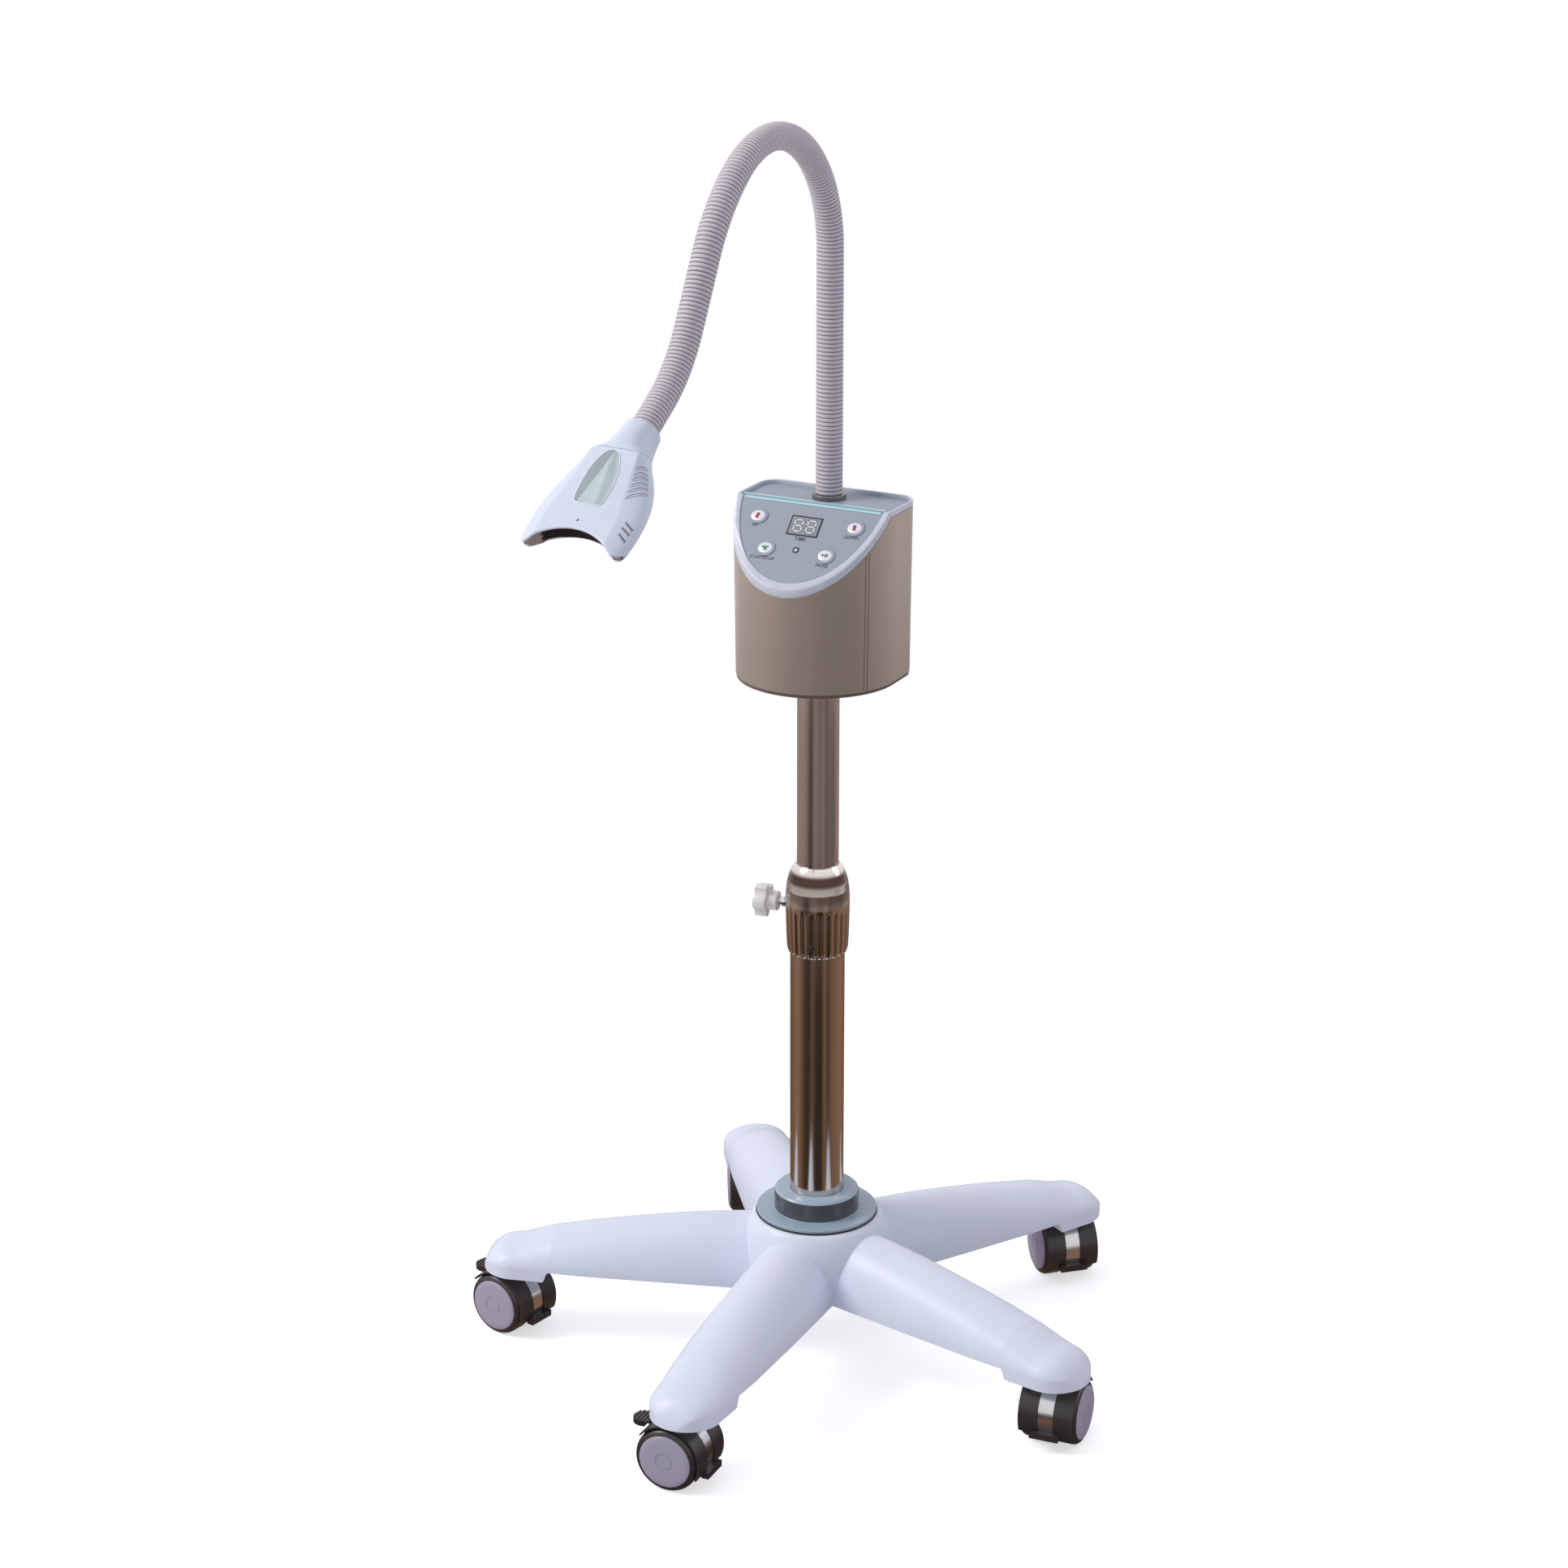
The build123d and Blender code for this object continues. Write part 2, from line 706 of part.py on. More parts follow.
def on_slope(shape, x, down, depth):
    # place a shape built along +Z so that it stands square on the sloped front
    slope = Plane(origin=(0, bend_y, box_top), x_dir=(1, 0, 0), z_dir=(0, -1, 1))
    return slope * (Pos(x, -down, -depth) * shape)


def oval(half_width, half_height, low, high):
    # oval bar; low and high are depths under the slope plane, deepest first
    return Pos(0, 0, -low) * extrude(Ellipse(half_width, half_height), amount=low - high)


def button_places():
    return [(-upper_button_x, upper_button_down), (upper_button_x, upper_button_down),
            (-lower_button_x, lower_button_down), (lower_button_x, lower_button_down)]


def control_panel():
    panel = box_prism(bezel_face, box_low, 2 * box_top) & ahead_of_bend()
    under = panel_recess + panel_thickness
    panel = (panel & under_top(panel_recess)) - under_top(under)
    for x, down in button_places():
        halo = oval(button_half_width + button_gap + halo_width, button_half_height + button_gap + halo_width,
                    under, panel_recess - halo_height)
        hole = oval(button_half_width + button_gap, button_half_height + button_gap,
                    under, panel_recess - halo_height)
        panel += on_slope(halo, x, down, 0)
        panel -= on_slope(hole, x, down, 0)
    opening = Box(2 * (display_half_width + display_gap), 2 * (display_half_height + display_gap),
                  2 * under, align=Align.CENTER)
    panel -= on_slope(opening, 0, display_down, under)
    panel -= on_slope(Cylinder(lamp_hole_radius, 2 * under), 0, lamp_hole_down, under)
    for x in (-upper_post_x, upper_post_x):
        panel += on_slope(Cylinder(post_radius, board_depth - under, align=FROM_BASE), x,
                          board_near + post_inset, board_depth)
    for x in (-lower_post_x, lower_post_x):
        panel += on_slope(Cylinder(post_radius, board_depth - under, align=FROM_BASE), x,
                          board_far - post_inset, board_depth)
    return panel


def circuit_board():
    length = board_far - board_near
    plate = Box(2 * board_half_width, length, board_thickness, align=FROM_BASE)
    return on_slope(plate, 0, (board_near + board_far) / 2, board_depth + board_thickness)


def display():
    body = Box(2 * display_half_width, 2 * display_half_height, board_depth - display_depth, align=FROM_BASE)
    return on_slope(body, 0, display_down, board_depth)


def button(index):
    x, down = button_places()[index]
    under = panel_recess + panel_thickness + button_flange_gap
    cap = oval(button_half_width, button_half_height, under, panel_recess - halo_height - button_shoulder)
    top = panel_recess - halo_height - button_shoulder
    cap += oval(button_half_width - button_dome, button_half_height - button_dome, under, top - button_dome)
    flange = oval(button_half_width + button_flange, button_half_height + button_flange,
                  under + button_flange_thickness, under)
    stem = Pos(0, 0, -button_stem_end) * Cylinder(button_stem_radius, button_stem_end - under, align=FROM_BASE)
    return on_slope(cap + flange + stem, x, down, 0)


def top_panel():
    top = box_top - top_panel_recess
    panel = box_prism(rim_face, box_top - bezel_band, top) - ahead_of_bend()
    return panel - Pos(0, neck_y, 0) * disc_stack(nut_shank_radius, box_low, box_top)


def neck_nut():
    top = box_top - top_panel_recess
    nut = Pos(0, neck_y, 0) * disc_stack(nut_radius, top, neck_low)
    nut += Pos(0, neck_y, 0) * disc_stack(nut_shank_radius, top - nut_drop, top)
    return nut - Pos(0, neck_y, 0) * disc_stack(neck_bore_radius, top - nut_drop, neck_low)


def power_supply():
    low = box_low + plate_thickness
    return block(supply_x - supply_half_width, supply_x + supply_half_width, -supply_half_length / 2,
                 supply_half_length / 2, low, low + supply_height)


def inlet():
    body = block(-inlet_half_width, inlet_half_width, box_back - inlet_depth, box_back,
                 inlet_z - inlet_half_height, inlet_z + inlet_half_height)
    body += block(-inlet_half_width - inlet_flange, inlet_half_width + inlet_flange,
                  box_back, box_back + inlet_flange_thickness,
                  inlet_z - inlet_half_height - inlet_flange, inlet_z + inlet_half_height + inlet_flange)
    outer = box_back + inlet_flange_thickness
    body -= block(-inlet_half_width + inlet_wall, inlet_half_width - inlet_wall, outer - inlet_pocket_depth, outer,
                  inlet_z - inlet_half_height + inlet_wall, inlet_z + inlet_half_height - inlet_wall)
    for step in (-1, 0, 1):
        x = step * inlet_pin_pitch
        z = inlet_z + (inlet_pin_half_height if step == 0 else -inlet_pin_half_height)
        body += block(x - inlet_pin_half_width, x + inlet_pin_half_width, outer - inlet_pocket_depth,
                      box_back, z - inlet_pin_half_height, z + inlet_pin_half_height)
    return body


def arc_length(radius, turn):
    return radius * math.radians(turn)


neck_runs = [
    (link_end, 0),
    (arc_length(crown_radius, crown_turn), crown_turn),
    (arc_length(shoulder_radius, shoulder_turn), shoulder_turn),
    (slope_length, 0),
    (arc_length(return_radius, return_turn), -return_turn),
    (neck_tail, 0),
]
neck_visible = sum(length for length, turn in neck_runs)


def neck_heading(distance):
    # lean from straight up and sideways turn of the centre line, in radians
    lean = 0
    start = 0
    for length, turn in neck_runs:
        part = min(max(distance - start, 0), length)
        lean += turn * part / length
        start += length
    out_share = min(max(distance - link_end, 0) / (sway_middle - link_end), 1)
    sway_end = neck_visible - neck_tail
    back_share = min(max(distance - sway_middle, 0) / (sway_end - sway_middle), 1)
    sway = sway_middle_turn * out_share + (sway_end_turn - sway_middle_turn) * back_share
    return math.radians(lean), math.radians(sway)


def neck_direction(distance):
    lean, side = neck_heading(distance)
    return Vector(-math.sin(side) * math.sin(lean), -math.cos(side) * math.sin(lean), math.cos(lean))


def neck_points(distances):
    # walk the centre line once and return a point for each rising distance
    points = []
    point = Vector(0, neck_y, neck_low)
    walked = 0
    for distance in distances:
        count = max(1, math.ceil((distance - walked) / (rib_pitch * walk_share)))
        step = (distance - walked) / count
        for k in range(count):
            point = point + neck_direction(walked + (k + 0.5) * step) * step
        walked = distance
        points.append(point)
    return points


def neck_disc(point, distance, radius):
    direction = neck_direction(distance)
    across_x = Vector(1, 0, 0) - direction * direction.X
    return Plane(origin=point, x_dir=across_x, z_dir=direction) * Circle(radius)


def neck_piece(start, end, tail):
    count = round((end - start) / rib_pitch)
    pitch = (end - start) / count
    rows = [(start, valley_radius)]
    for i in range(count):
        for place, radius in zip(rib_place_shares, rib_radius_list):
            rows.append((start + (i + place) * pitch, radius))
    rows.append((end, valley_radius))
    if tail > 0:
        rows.append((end + tail, valley_radius))
    points = neck_points([distance for distance, radius in rows])
    discs = [neck_disc(point, distance, radius) for point, (distance, radius) in zip(points, rows)]
    hose = loft(discs, ruled=True)
    picks = list(range(0, len(rows) - 1, 4)) + [len(rows) - 1]
    bore = loft([neck_disc(points[k], rows[k][0], neck_bore_radius) for k in picks], ruled=True)
    return hose - bore


def head_plane():
    # local X runs from the seam to the mouth, local Y to the side, local Z out of the top
    along = neck_direction(neck_visible)
    seam = neck_points([neck_visible])[0] + along * cone_length
    level = Vector(-along.Y, along.X, 0).normalized()
    if level.X < 0:
        level = level * -1
    up = level.cross(along) * -1
    if up.Z < 0:
        up = up * -1
    roll = math.radians(head_roll)
    top = up * math.cos(roll) - level * math.sin(roll)
    return Plane(origin=seam, x_dir=along, z_dir=top)


def in_head(shape):
    return head_plane() * shape


def head_outline(index, inset):
    half = head_half_widths[index] - inset
    top = head_tops[index] - inset
    bottom = head_bottoms[index] - inset
    power = 2 / head_round_exponents[index]
    points = []
    for k in range(outline_points):
        angle = 2 * math.pi * k / outline_points
        c = math.cos(angle)
        s = math.sin(angle)
        height = top if s > 0 else bottom
        points.append((head_stations[index], half * math.copysign(abs(c) ** power, c),
                       height * math.copysign(abs(s) ** power, s)))
    return make_face(Spline(*points, periodic=True))


def head_solid(inset):
    return loft([head_outline(i, inset) for i in range(len(head_stations))])


def mouth_arc(radius, low, high):
    return Pos(mouth_near + mouth_radius, 0, low) * Cylinder(radius, high - low, align=FROM_BASE)


def head_block(low, high):
    far = 2 * head_stations[-1]
    return block(-far, far, -head_widest * 2, head_widest * 2, low, high)


def past_seam(shift):
    # everything on the mouth's side of the leaning seam between the cone and the shells
    far = 2 * head_stations[-1]
    return Pos(seam_shift + shift, 0, 0) * Rot(0, seam_lean, 0) * block(0, far, -far, far, -far, far)


def bullet(low, high):
    # rounded tip towards the neck, nearly straight end towards the mouth
    rise = list(zip(window_side_reaches, window_side_halves)) + [(window_corner_reach, window_corner_half)]
    side = [(reach - window_tip, half, low) for reach, half in rise]
    other = [(along, -half, low) for along, half, level in reversed(side)]
    corner = window_corner_reach - window_tip
    edges = [
        Spline(*other, (0, 0, low), *side),
        ThreePointArc((corner, window_corner_half, low), (window_far - window_tip, 0, low),
                      (corner, -window_corner_half, low)),
    ]
    return extrude(make_face(edges), amount=high - low)


def on_window(shape):
    # plane of the window, leaning with the top of the head
    run = window_far - window_tip
    fall = window_tip_height - window_far_height
    lean = Plane(origin=(window_tip, 0, window_tip_height), x_dir=(run, 0, -fall), z_dir=(fall, 0, run))
    return lean * shape


def head_screw_places():
    return [(head_screw_u, -head_screw_side), (head_screw_u, head_screw_side)]


def lens_ring(low, high, half_width):
    ring = mouth_arc(lens_back_radius, low, high) - mouth_arc(lens_front_radius, low, high)
    return ring & block(0, mouth_near + mouth_radius, -half_width, half_width, low, high)


def shell_half(upper):
    # half of the hollow shell, above or below the parting plane
    reach = 2 * mouth_radius
    half = head_block(0, reach) if upper else head_block(-reach, 0)
    whole = head_solid(0) & past_seam(0) & half
    cavity = head_solid(head_wall) & past_seam(head_back_wall)
    return whole, cavity


def shell_cuts(shell):
    shell -= mouth_arc(mouth_radius, -2 * mouth_radius, 2 * mouth_radius)
    return shell - Pos(-cone_length, 0, 0) * Rot(0, 90, 0) * Cylinder(
        wire_bore_radius, 2 * cone_length, align=FROM_BASE)


def top_shell():
    whole, cavity = shell_half(True)
    extra = lens_ring(lens_high, head_tallest, lens_half_width)
    for u, side in head_screw_places():
        extra += Pos(u, side, 0) * Cylinder(head_boss_radius, head_tallest, align=FROM_BASE)
    shell = (whole - cavity) + (extra & whole)
    shell -= on_window(bullet(-window_sink, 2 * window_sink))
    for u, side in head_screw_places():
        shell -= Pos(u, side, 0) * Cylinder(head_screw_radius, head_screw_length / 3, align=FROM_BASE)
    return in_head(shell_cuts(shell))


def bottom_shell():
    whole, cavity = shell_half(False)
    extra = lens_ring(-head_tallest, lens_low, lens_half_width)
    for u, side in head_screw_places():
        extra += Pos(u, side, -head_tallest) * Cylinder(head_boss_radius, head_tallest, align=FROM_BASE)
    for u in (led_post_near, led_post_far):
        for side in (-led_post_side, led_post_side):
            extra += Pos(u, side, -head_tallest) * Cylinder(led_post_radius, head_tallest + led_board_low,
                                                            align=FROM_BASE)
    shell = (whole - cavity) + (extra & whole)
    for u, side in head_screw_places():
        shell -= Pos(u, side, -head_screw_head_low) * Cylinder(head_screw_radius, head_screw_length,
                                                               align=FROM_BASE)
        shell -= Pos(u, side, -2 * head_tallest) * Cylinder(
            head_screw_head_radius, 2 * head_tallest - head_screw_head_low + head_screw_head_height,
            align=FROM_BASE)
    return in_head(shell_cuts(shell))


def window():
    return in_head(on_window(bullet(-window_sink, -window_sink + window_thickness)))


def led_board():
    top = led_board_low + led_board_thickness
    board = block(led_board_near, led_board_far, -led_board_half_width, led_board_half_width, led_board_low, top)
    board += block(led_board_far - led_bar_length, led_board_far, -led_board_half_width, led_board_half_width,
                   top, top + led_bar_height)
    return in_head(board)


def mouth_lens():
    return in_head(lens_ring(lens_low, lens_high, lens_half_width))


def head_screws():
    low = -head_screw_head_low
    one = Pos(0, 0, low) * Cylinder(head_screw_head_radius, head_screw_head_height, align=FROM_BASE)
    one += Pos(0, 0, low) * Cylinder(head_screw_radius, head_screw_length, align=FROM_BASE)
    return Compound(children=[in_head(Pos(u, side, 0) * one) for u, side in head_screw_places()])


def socket():
    seat = neck_insert + insert_end_gap
    body = head_solid(0) - past_seam(0)
    body -= Pos(-cone_length, 0, 0) * Rot(0, 90, 0) * Cylinder(insert_bore_radius, seat, align=FROM_BASE)
    body -= Pos(-cone_length, 0, 0) * Rot(0, 90, 0) * Cylinder(wire_bore_radius, 2 * cone_length, align=FROM_BASE)
    return in_head(body)


def parts_table():
    table = {
        "star_base": star_base,
        "base_flange": base_flange,
        "lower_tube": lower_tube,
        "collar": collar,
        "guide_bush": guide_bush,
        "clamp_stud": clamp_stud,
        "clamp_knob": clamp_knob,
        "upper_tube": upper_tube,
        "glide_plug": glide_plug,
        "housing": housing,
        "bezel": bezel,
        "bottom_plate": bottom_plate,
        "box_screws": box_screws,
        "control_panel": control_panel,
        "circuit_board": circuit_board,
        "display": display,
        "top_panel": top_panel,
        "neck_nut": neck_nut,
        "power_supply": power_supply,
        "inlet": inlet,
        "socket": socket,
        "top_shell": top_shell,
        "bottom_shell": bottom_shell,
        "window": window,
        "led_board": led_board,
        "mouth_lens": mouth_lens,
        "head_screws": head_screws,
        "neck_riser": lambda: neck_piece(0, riser_length, 0),
        "neck_link": lambda: neck_piece(riser_length, link_end, 0),
        "neck_arch": lambda: neck_piece(link_end, arch_end, 0),
        "neck_drop": lambda: neck_piece(arch_end, neck_visible, neck_insert),
    }
    return table


def castor_parts():
    return {
        "yoke": castor_yoke(),
        "hood": castor_hood(),
        "wheel_a": castor_wheel(1),
        "wheel_b": castor_wheel(-1),
        "pedal": castor_pedal(),
    }


def main():
    os.makedirs("parts", exist_ok=True)
    for node, build in parts_table().items():
        export_step(build(), "parts/" + node + ".step")
    for i, name in enumerate(("up_button", "down_button", "start_button", "pause_button")):
        export_step(button(i), "parts/" + name + ".step")
    local = castor_parts()
    for i in range(leg_count):
        for name, shape in local.items():
            export_step(at_castor(shape, i), "parts/castor_" + str(i + 1) + "_" + name + ".step")


main()
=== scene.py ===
import json
import math

import bmesh
import bpy
import numpy as np
from bpy.props import FloatProperty, FloatVectorProperty, IntProperty, PointerProperty
from mathutils import Matrix, Vector


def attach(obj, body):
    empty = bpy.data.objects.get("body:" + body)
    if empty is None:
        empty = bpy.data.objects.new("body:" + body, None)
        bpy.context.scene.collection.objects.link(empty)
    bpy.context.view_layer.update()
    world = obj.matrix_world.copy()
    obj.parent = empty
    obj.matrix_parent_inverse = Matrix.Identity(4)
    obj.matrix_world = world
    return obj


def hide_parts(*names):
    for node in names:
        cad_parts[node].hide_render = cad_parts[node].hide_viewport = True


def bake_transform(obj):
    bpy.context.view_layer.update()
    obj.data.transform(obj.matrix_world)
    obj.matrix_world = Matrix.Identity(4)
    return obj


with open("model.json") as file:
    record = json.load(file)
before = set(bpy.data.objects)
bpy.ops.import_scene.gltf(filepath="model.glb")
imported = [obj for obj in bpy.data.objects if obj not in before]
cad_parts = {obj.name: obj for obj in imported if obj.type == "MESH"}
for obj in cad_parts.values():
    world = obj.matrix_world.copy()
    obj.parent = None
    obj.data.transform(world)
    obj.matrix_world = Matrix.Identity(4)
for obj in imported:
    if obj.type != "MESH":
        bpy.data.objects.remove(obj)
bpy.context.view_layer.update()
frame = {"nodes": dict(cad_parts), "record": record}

bl_info = {
    "name": "Teeth whitening lamp",
    "version": (1, 0, 0),
    "blender": (4, 5, 0),
    "location": "3D View > Sidebar > Lamp",
    "description": "Dresses the frame of a teeth whitening lamp on a castor stand",
    "category": "Object",
}

MM = 0.001
SLOT_OF = {row["node"]: row["material_slot"] for row in frame["record"]["subparts"]}

# Centre line of the gooseneck: length and turn in degrees of each run, then the sideways sway
NECK_FOOT = np.array([0.0, 20.0, 825.0]) * MM
NECK_RUNS = [(215.0, 0.0), (math.radians(123.0) * 113.5, 123.0), (math.radians(27.0) * 182.0, 27.0),
             (62.5, 0.0), (math.radians(25.7) * 147.2, -25.7), (31.0, 0.0)]
NECK_VISIBLE = sum(length for length, turn in NECK_RUNS)
SWAY_PLACES = [215.0, 560.0, NECK_VISIBLE - 31.0]
SWAY_TURNS = [0.0, -1.4, 2.9]
RISER_END, LINK_END, ARCH_END, NECK_INSERT = 110.0, 215.0, 558.0, 10.0

# Lamp head: places along it, half widths, heights over and under the middle, and roundness
HEAD_REACH = np.array([-25.0, 0.0, 20.0, 45.0, 75.0, 107.0])
HEAD_HALF = np.array([15.6, 19.8, 31.6, 43.3, 48.5, 46.5])
HEAD_OVER = np.array([15.6, 19.8, 19.3, 16.5, 14.5, 12.5])
HEAD_UNDER = np.array([15.6, 19.8, 17.0, 11.5, 6.0, 4.5])
HEAD_ROUND = np.array([2.0, 2.0, 2.2, 2.4, 2.4, 2.4])
HEAD_ROLL = math.radians(-1.0)
CREASE_REACH, CREASE_SIDE = [0.0, 8.0, 40.0, 77.0, 107.0], [14.0, 21.0, 24.5, 31.5, 32.0]
CONE_LENGTH, SEAM_SHIFT, SEAM_SLOPE = 25.0, 1.5, math.tan(math.radians(25.6))
MOUTH_CENTRE, MOUTH_RADIUS, HEAD_END = 148.0, 57.0, 107.0
TIP_START, TIP_ROUND, CHEEK_START = 39.0, 8.0, 29.5
CONE_AROUND, CONE_LIP, SEAM_GAP, SEAM_STEP = 96, 1.4, 0.12, 0.35
WINDOW_MIDDLE, WINDOW_TIP = 44.0, 14.0

# Sloped panel: its top edge in the frame, and the places of what is on it
BEND = np.array([0.0, -11.5, 824.0]) * MM
PANEL_LIFT = -1.0
KEYS = {"up": (-47.0, 20.0), "down": (47.0, 20.0), "start": (-29.0, 50.5), "pause": (29.0, 50.5)}
KEY_HALF, KEY_LIFT, KEY_DOME = (6.7, 5.4), 0.75, 0.75
LABELS = {"UP": (-47.0, 29.4), "DOWN": (47.0, 29.4), "START/STOP": (-29.0, 60.2), "PAUSE": (29.0, 60.2),
          "TIME": (0.0, 37.2)}
SCREEN_MIDDLE, SCREEN_HALF, SCREEN_EDGE = 24.3, (14.8, 9.7), 0.4
DIGIT_HALF, SIGNAL_LAMP = (3.7, 5.8), (0.0, 48.3)

# Star base: azimuth of each leg and of each pedal in degrees, then a leg's half widths, tops and undersides
LEG_TURNS = [272.9 + 72 * i for i in range(5)]
PEDAL_TURNS = [182.0, 94.0, 133.0, 120.0, 170.0]
LEG_REACH, CASTOR_TRAIL, WHEEL_RADIUS = 284.0, 9.0, 30.0
LEG_HALVES = [34, 85, 150, 220, LEG_REACH], [41, 40.5, 40, 38, 33.0]
LEG_TOPS = [30, 60, 85, 120, 150, 185, 220, 255, LEG_REACH], [131, 130.3, 129, 126, 122, 117, 111, 103.5, 94]
LEG_LOWS = [30, 85, 150, 220, LEG_REACH], [71.5, 72.5, 74, 75, 76]
NOSE_LENGTH, BOSS_BACK, BOSS_SLOPE, BOSS_DROP = 32.6, 33.0, 5.0, 10.2
HUB = [(25.2, 70.0), (62.0, 70.0), (66.5, 71.5), (69.5, 78.0), (70.0, 90.0), (69.6, 104.0), (68.0, 116.0),
       (65.0, 126.0), (61.6, 133.5), (59.0, 137.0), (57.0, 138.0), (25.2, 138.0)]
# Dark ring of painted shade in the gap between the hub and the flange: radius against height
FLANGE_GAP_SHADE = [(51.0, 138.05), (56.4, 138.05), (56.9, 138.6), (56.4, 139.4), (51.0, 139.4)]
SLEEVE = [(19.3, 400.0), (26.4, 400.0), (26.8, 400.6), (28.0, 405.0), (28.5, 415.0), (28.9, 428.0),
          (29.2, 440.0), (29.3, 448.0), (29.2, 454.0), (28.7, 461.0), (27.6, 468.0), (26.0, 474.0), (24.4, 478.0),
          (22.6, 481.4), (21.0, 483.8), (20.2, 484.8), (19.6, 485.0), (19.3, 484.8)]
FLUTES, FLUTE_DEPTH, GRUB_TURN, GRUB_HEIGHT = 24, 1.0, 281.0, 411.0


def length(label, words, value):
    return FloatProperty(name=label, description=words, default=value, unit="LENGTH")


class LampSizes(bpy.types.PropertyGroup):
    crest: length("Neck crest radius", "Radius over the ribs of the gooseneck", 0.0120)
    valley: length("Neck valley radius", "Radius between the ribs of the gooseneck", 0.0111)
    pitch: length("Rib pitch", "Distance from rib to rib", 0.00365)
    around: IntProperty(name="Faces round the neck", description="Points on each ring of the neck", default=40)
    letter: length("Letter height", "Size of the lettering on the panel", 0.0042)
    halo: length("Key rim width", "Width of the clear rim round each key", 0.0024)
    halo_height: length("Key rim height", "Height of the clear rim over the panel", 0.0008)
    edge: length("Edge rounding", "Rounding of the moulded edges of the box", 0.0007)
    shell: length("Head wall", "Wall of the lamp head at its mouth", 0.0020)


def colour(label, words, value):
    return FloatVectorProperty(name=label, description=words, default=value, subtype="COLOR", min=0, max=1)


class LampColours(bpy.types.PropertyGroup):
    enamel: colour("Base enamel", "Colour of the painted star base", (0.74, 0.78, 0.91))
    head: colour("Head plastic", "Colour of the moulded head", (0.66, 0.71, 0.83))
    case: colour("Box sides", "Colour of the box below its rim", (0.40, 0.33, 0.29))
    rim: colour("Box rim", "Colour of the bright rim round the panel", (0.56, 0.59, 0.68))
    panel: colour("Panel", "Colour of the control panel", (0.30, 0.335, 0.40))
    key: colour("Keys", "Colour of the domed keys", (0.78, 0.80, 0.86))
    clear: colour("Key rims", "Colour of the clear rims round the keys", (0.50, 0.545, 0.63))
    # the strip's colour is a painted cyan highlight on the panel's lip
    strip: colour("Light strip", "Colour of the strip behind the panel", (0.46, 0.70, 0.76))
    steel: colour("Gooseneck", "Colour of the gooseneck", (0.63, 0.59, 0.64))
    chrome: colour("Chrome", "Colour of the tubes and the collar", (0.66, 0.61, 0.58))
    glass: colour("Window", "Colour of the window in the head", (0.40, 0.49, 0.52))


def sizes():
    return bpy.context.scene.lamp_sizes


def shades():
    return bpy.context.scene.lamp_colours


# Mesh helpers

def grid_faces(rows, columns, closed_rows=False, closed_columns=False):
    """Quads of a grid with index row * columns + column; a closed direction joins its last line to its first."""
    index = np.arange(rows * columns).reshape(rows, columns)
    if closed_rows:
        index = np.vstack([index, index[:1]])
    if closed_columns:
        index = np.hstack([index, index[:, :1]])
    a, b, c, d = index[:-1, :-1], index[1:, :-1], index[1:, 1:], index[:-1, 1:]
    return np.stack([a, b, c, d], -1).reshape(-1, 4).tolist()


def ring_faces(rows, columns):
    """Quads of a grid that closes both ways."""
    return grid_faces(rows, columns, closed_rows=True, closed_columns=True)


def full_turn(count):
    """Evenly spaced angles once round, without the last, which is the first again."""
    return np.linspace(0, 2 * math.pi, count, endpoint=False)


def mesh_of(name, points, faces):
    """A mesh from an array of points of any shape, whose last direction is x, y, z."""
    mesh = bpy.data.meshes.new(name)
    mesh.from_pydata(np.reshape(points, (-1, 3)).tolist(), [], faces)
    return mesh


def put(name, data):
    """A new object of the scene, for a mesh, lettering, a lamp or a camera."""
    thing = bpy.data.objects.new(name, data)
    bpy.context.scene.collection.objects.link(thing)
    return thing


def piece(name, points, faces, body, slot, finish=None, nodes=(), smooth=True, sharp=None):
    """A mesh from an array of points, doubles merged and faces turned outwards, riding on a body, in the slot's
    own finish or another one. Edges that bend by more than sharp degrees stay sharp."""
    mesh = mesh_of(name, points, faces)
    work = bmesh.new()
    work.from_mesh(mesh)
    bmesh.ops.remove_doubles(work, verts=work.verts, dist=1e-7)
    bmesh.ops.recalc_face_normals(work, faces=work.faces)
    work.to_mesh(mesh)
    work.free()
    if smooth:
        mesh.shade_smooth()
        if sharp is not None:
            mesh.set_sharp_from_angle(angle=math.radians(sharp))
    thing = put(name, mesh)
    mesh.materials.append(finish_of(finish or slot))
    if body:
        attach(thing, body)
    if nodes:
        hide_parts(*nodes)
    return thing


def places(items, what):
    """Places of a mesh's vertices (co) or faces (center), as rows of three."""
    flat = np.zeros(len(items) * 3)
    items.foreach_get(what, flat)
    return flat.reshape(-1, 3)


def keep_shade_share(thing, share):
    """Stores a share from 0 to 1 at each point, which the materials read as swell and darken towards 0 as painted
    shade.
    """
    thing.data.attributes.new("swell", "FLOAT", "POINT").data.foreach_set("value", share.astype(np.float32))


def paint(thing, index):
    """Gives each face the material at its index."""
    thing.data.polygons.foreach_set("material_index", index.astype(np.int32))


def capped(rows, columns):
    """Faces of a tube of closed rings with a flat cap on each end."""
    faces = grid_faces(rows, columns, closed_columns=True)
    last = (rows - 1) * columns
    return faces + [list(range(columns)), list(range(last, last + columns))]


def strip(path, half, low, high, place):
    """A bar of rectangular section along a flat path: corners at +-half across it, from low to high over it.
    place(x, y, h) puts flat places x, y and a height h into the frame, all as arrays in millimetres."""
    path = np.asarray(path, float)
    along = np.gradient(path, axis=0)
    along /= np.linalg.norm(along, axis=1)[:, None]
    side = np.stack([-along[:, 1], along[:, 0]], 1)
    half = np.broadcast_to(np.asarray(half, float), (len(path),))[:, None]
    left, right = path + side * half, path - side * half
    flat = np.stack([left, right, right, left], 1)
    height = np.broadcast_to(np.array([low, low, high, high]), flat.shape[:2])
    return place(flat[..., 0], flat[..., 1], height), capped(len(path), 4)


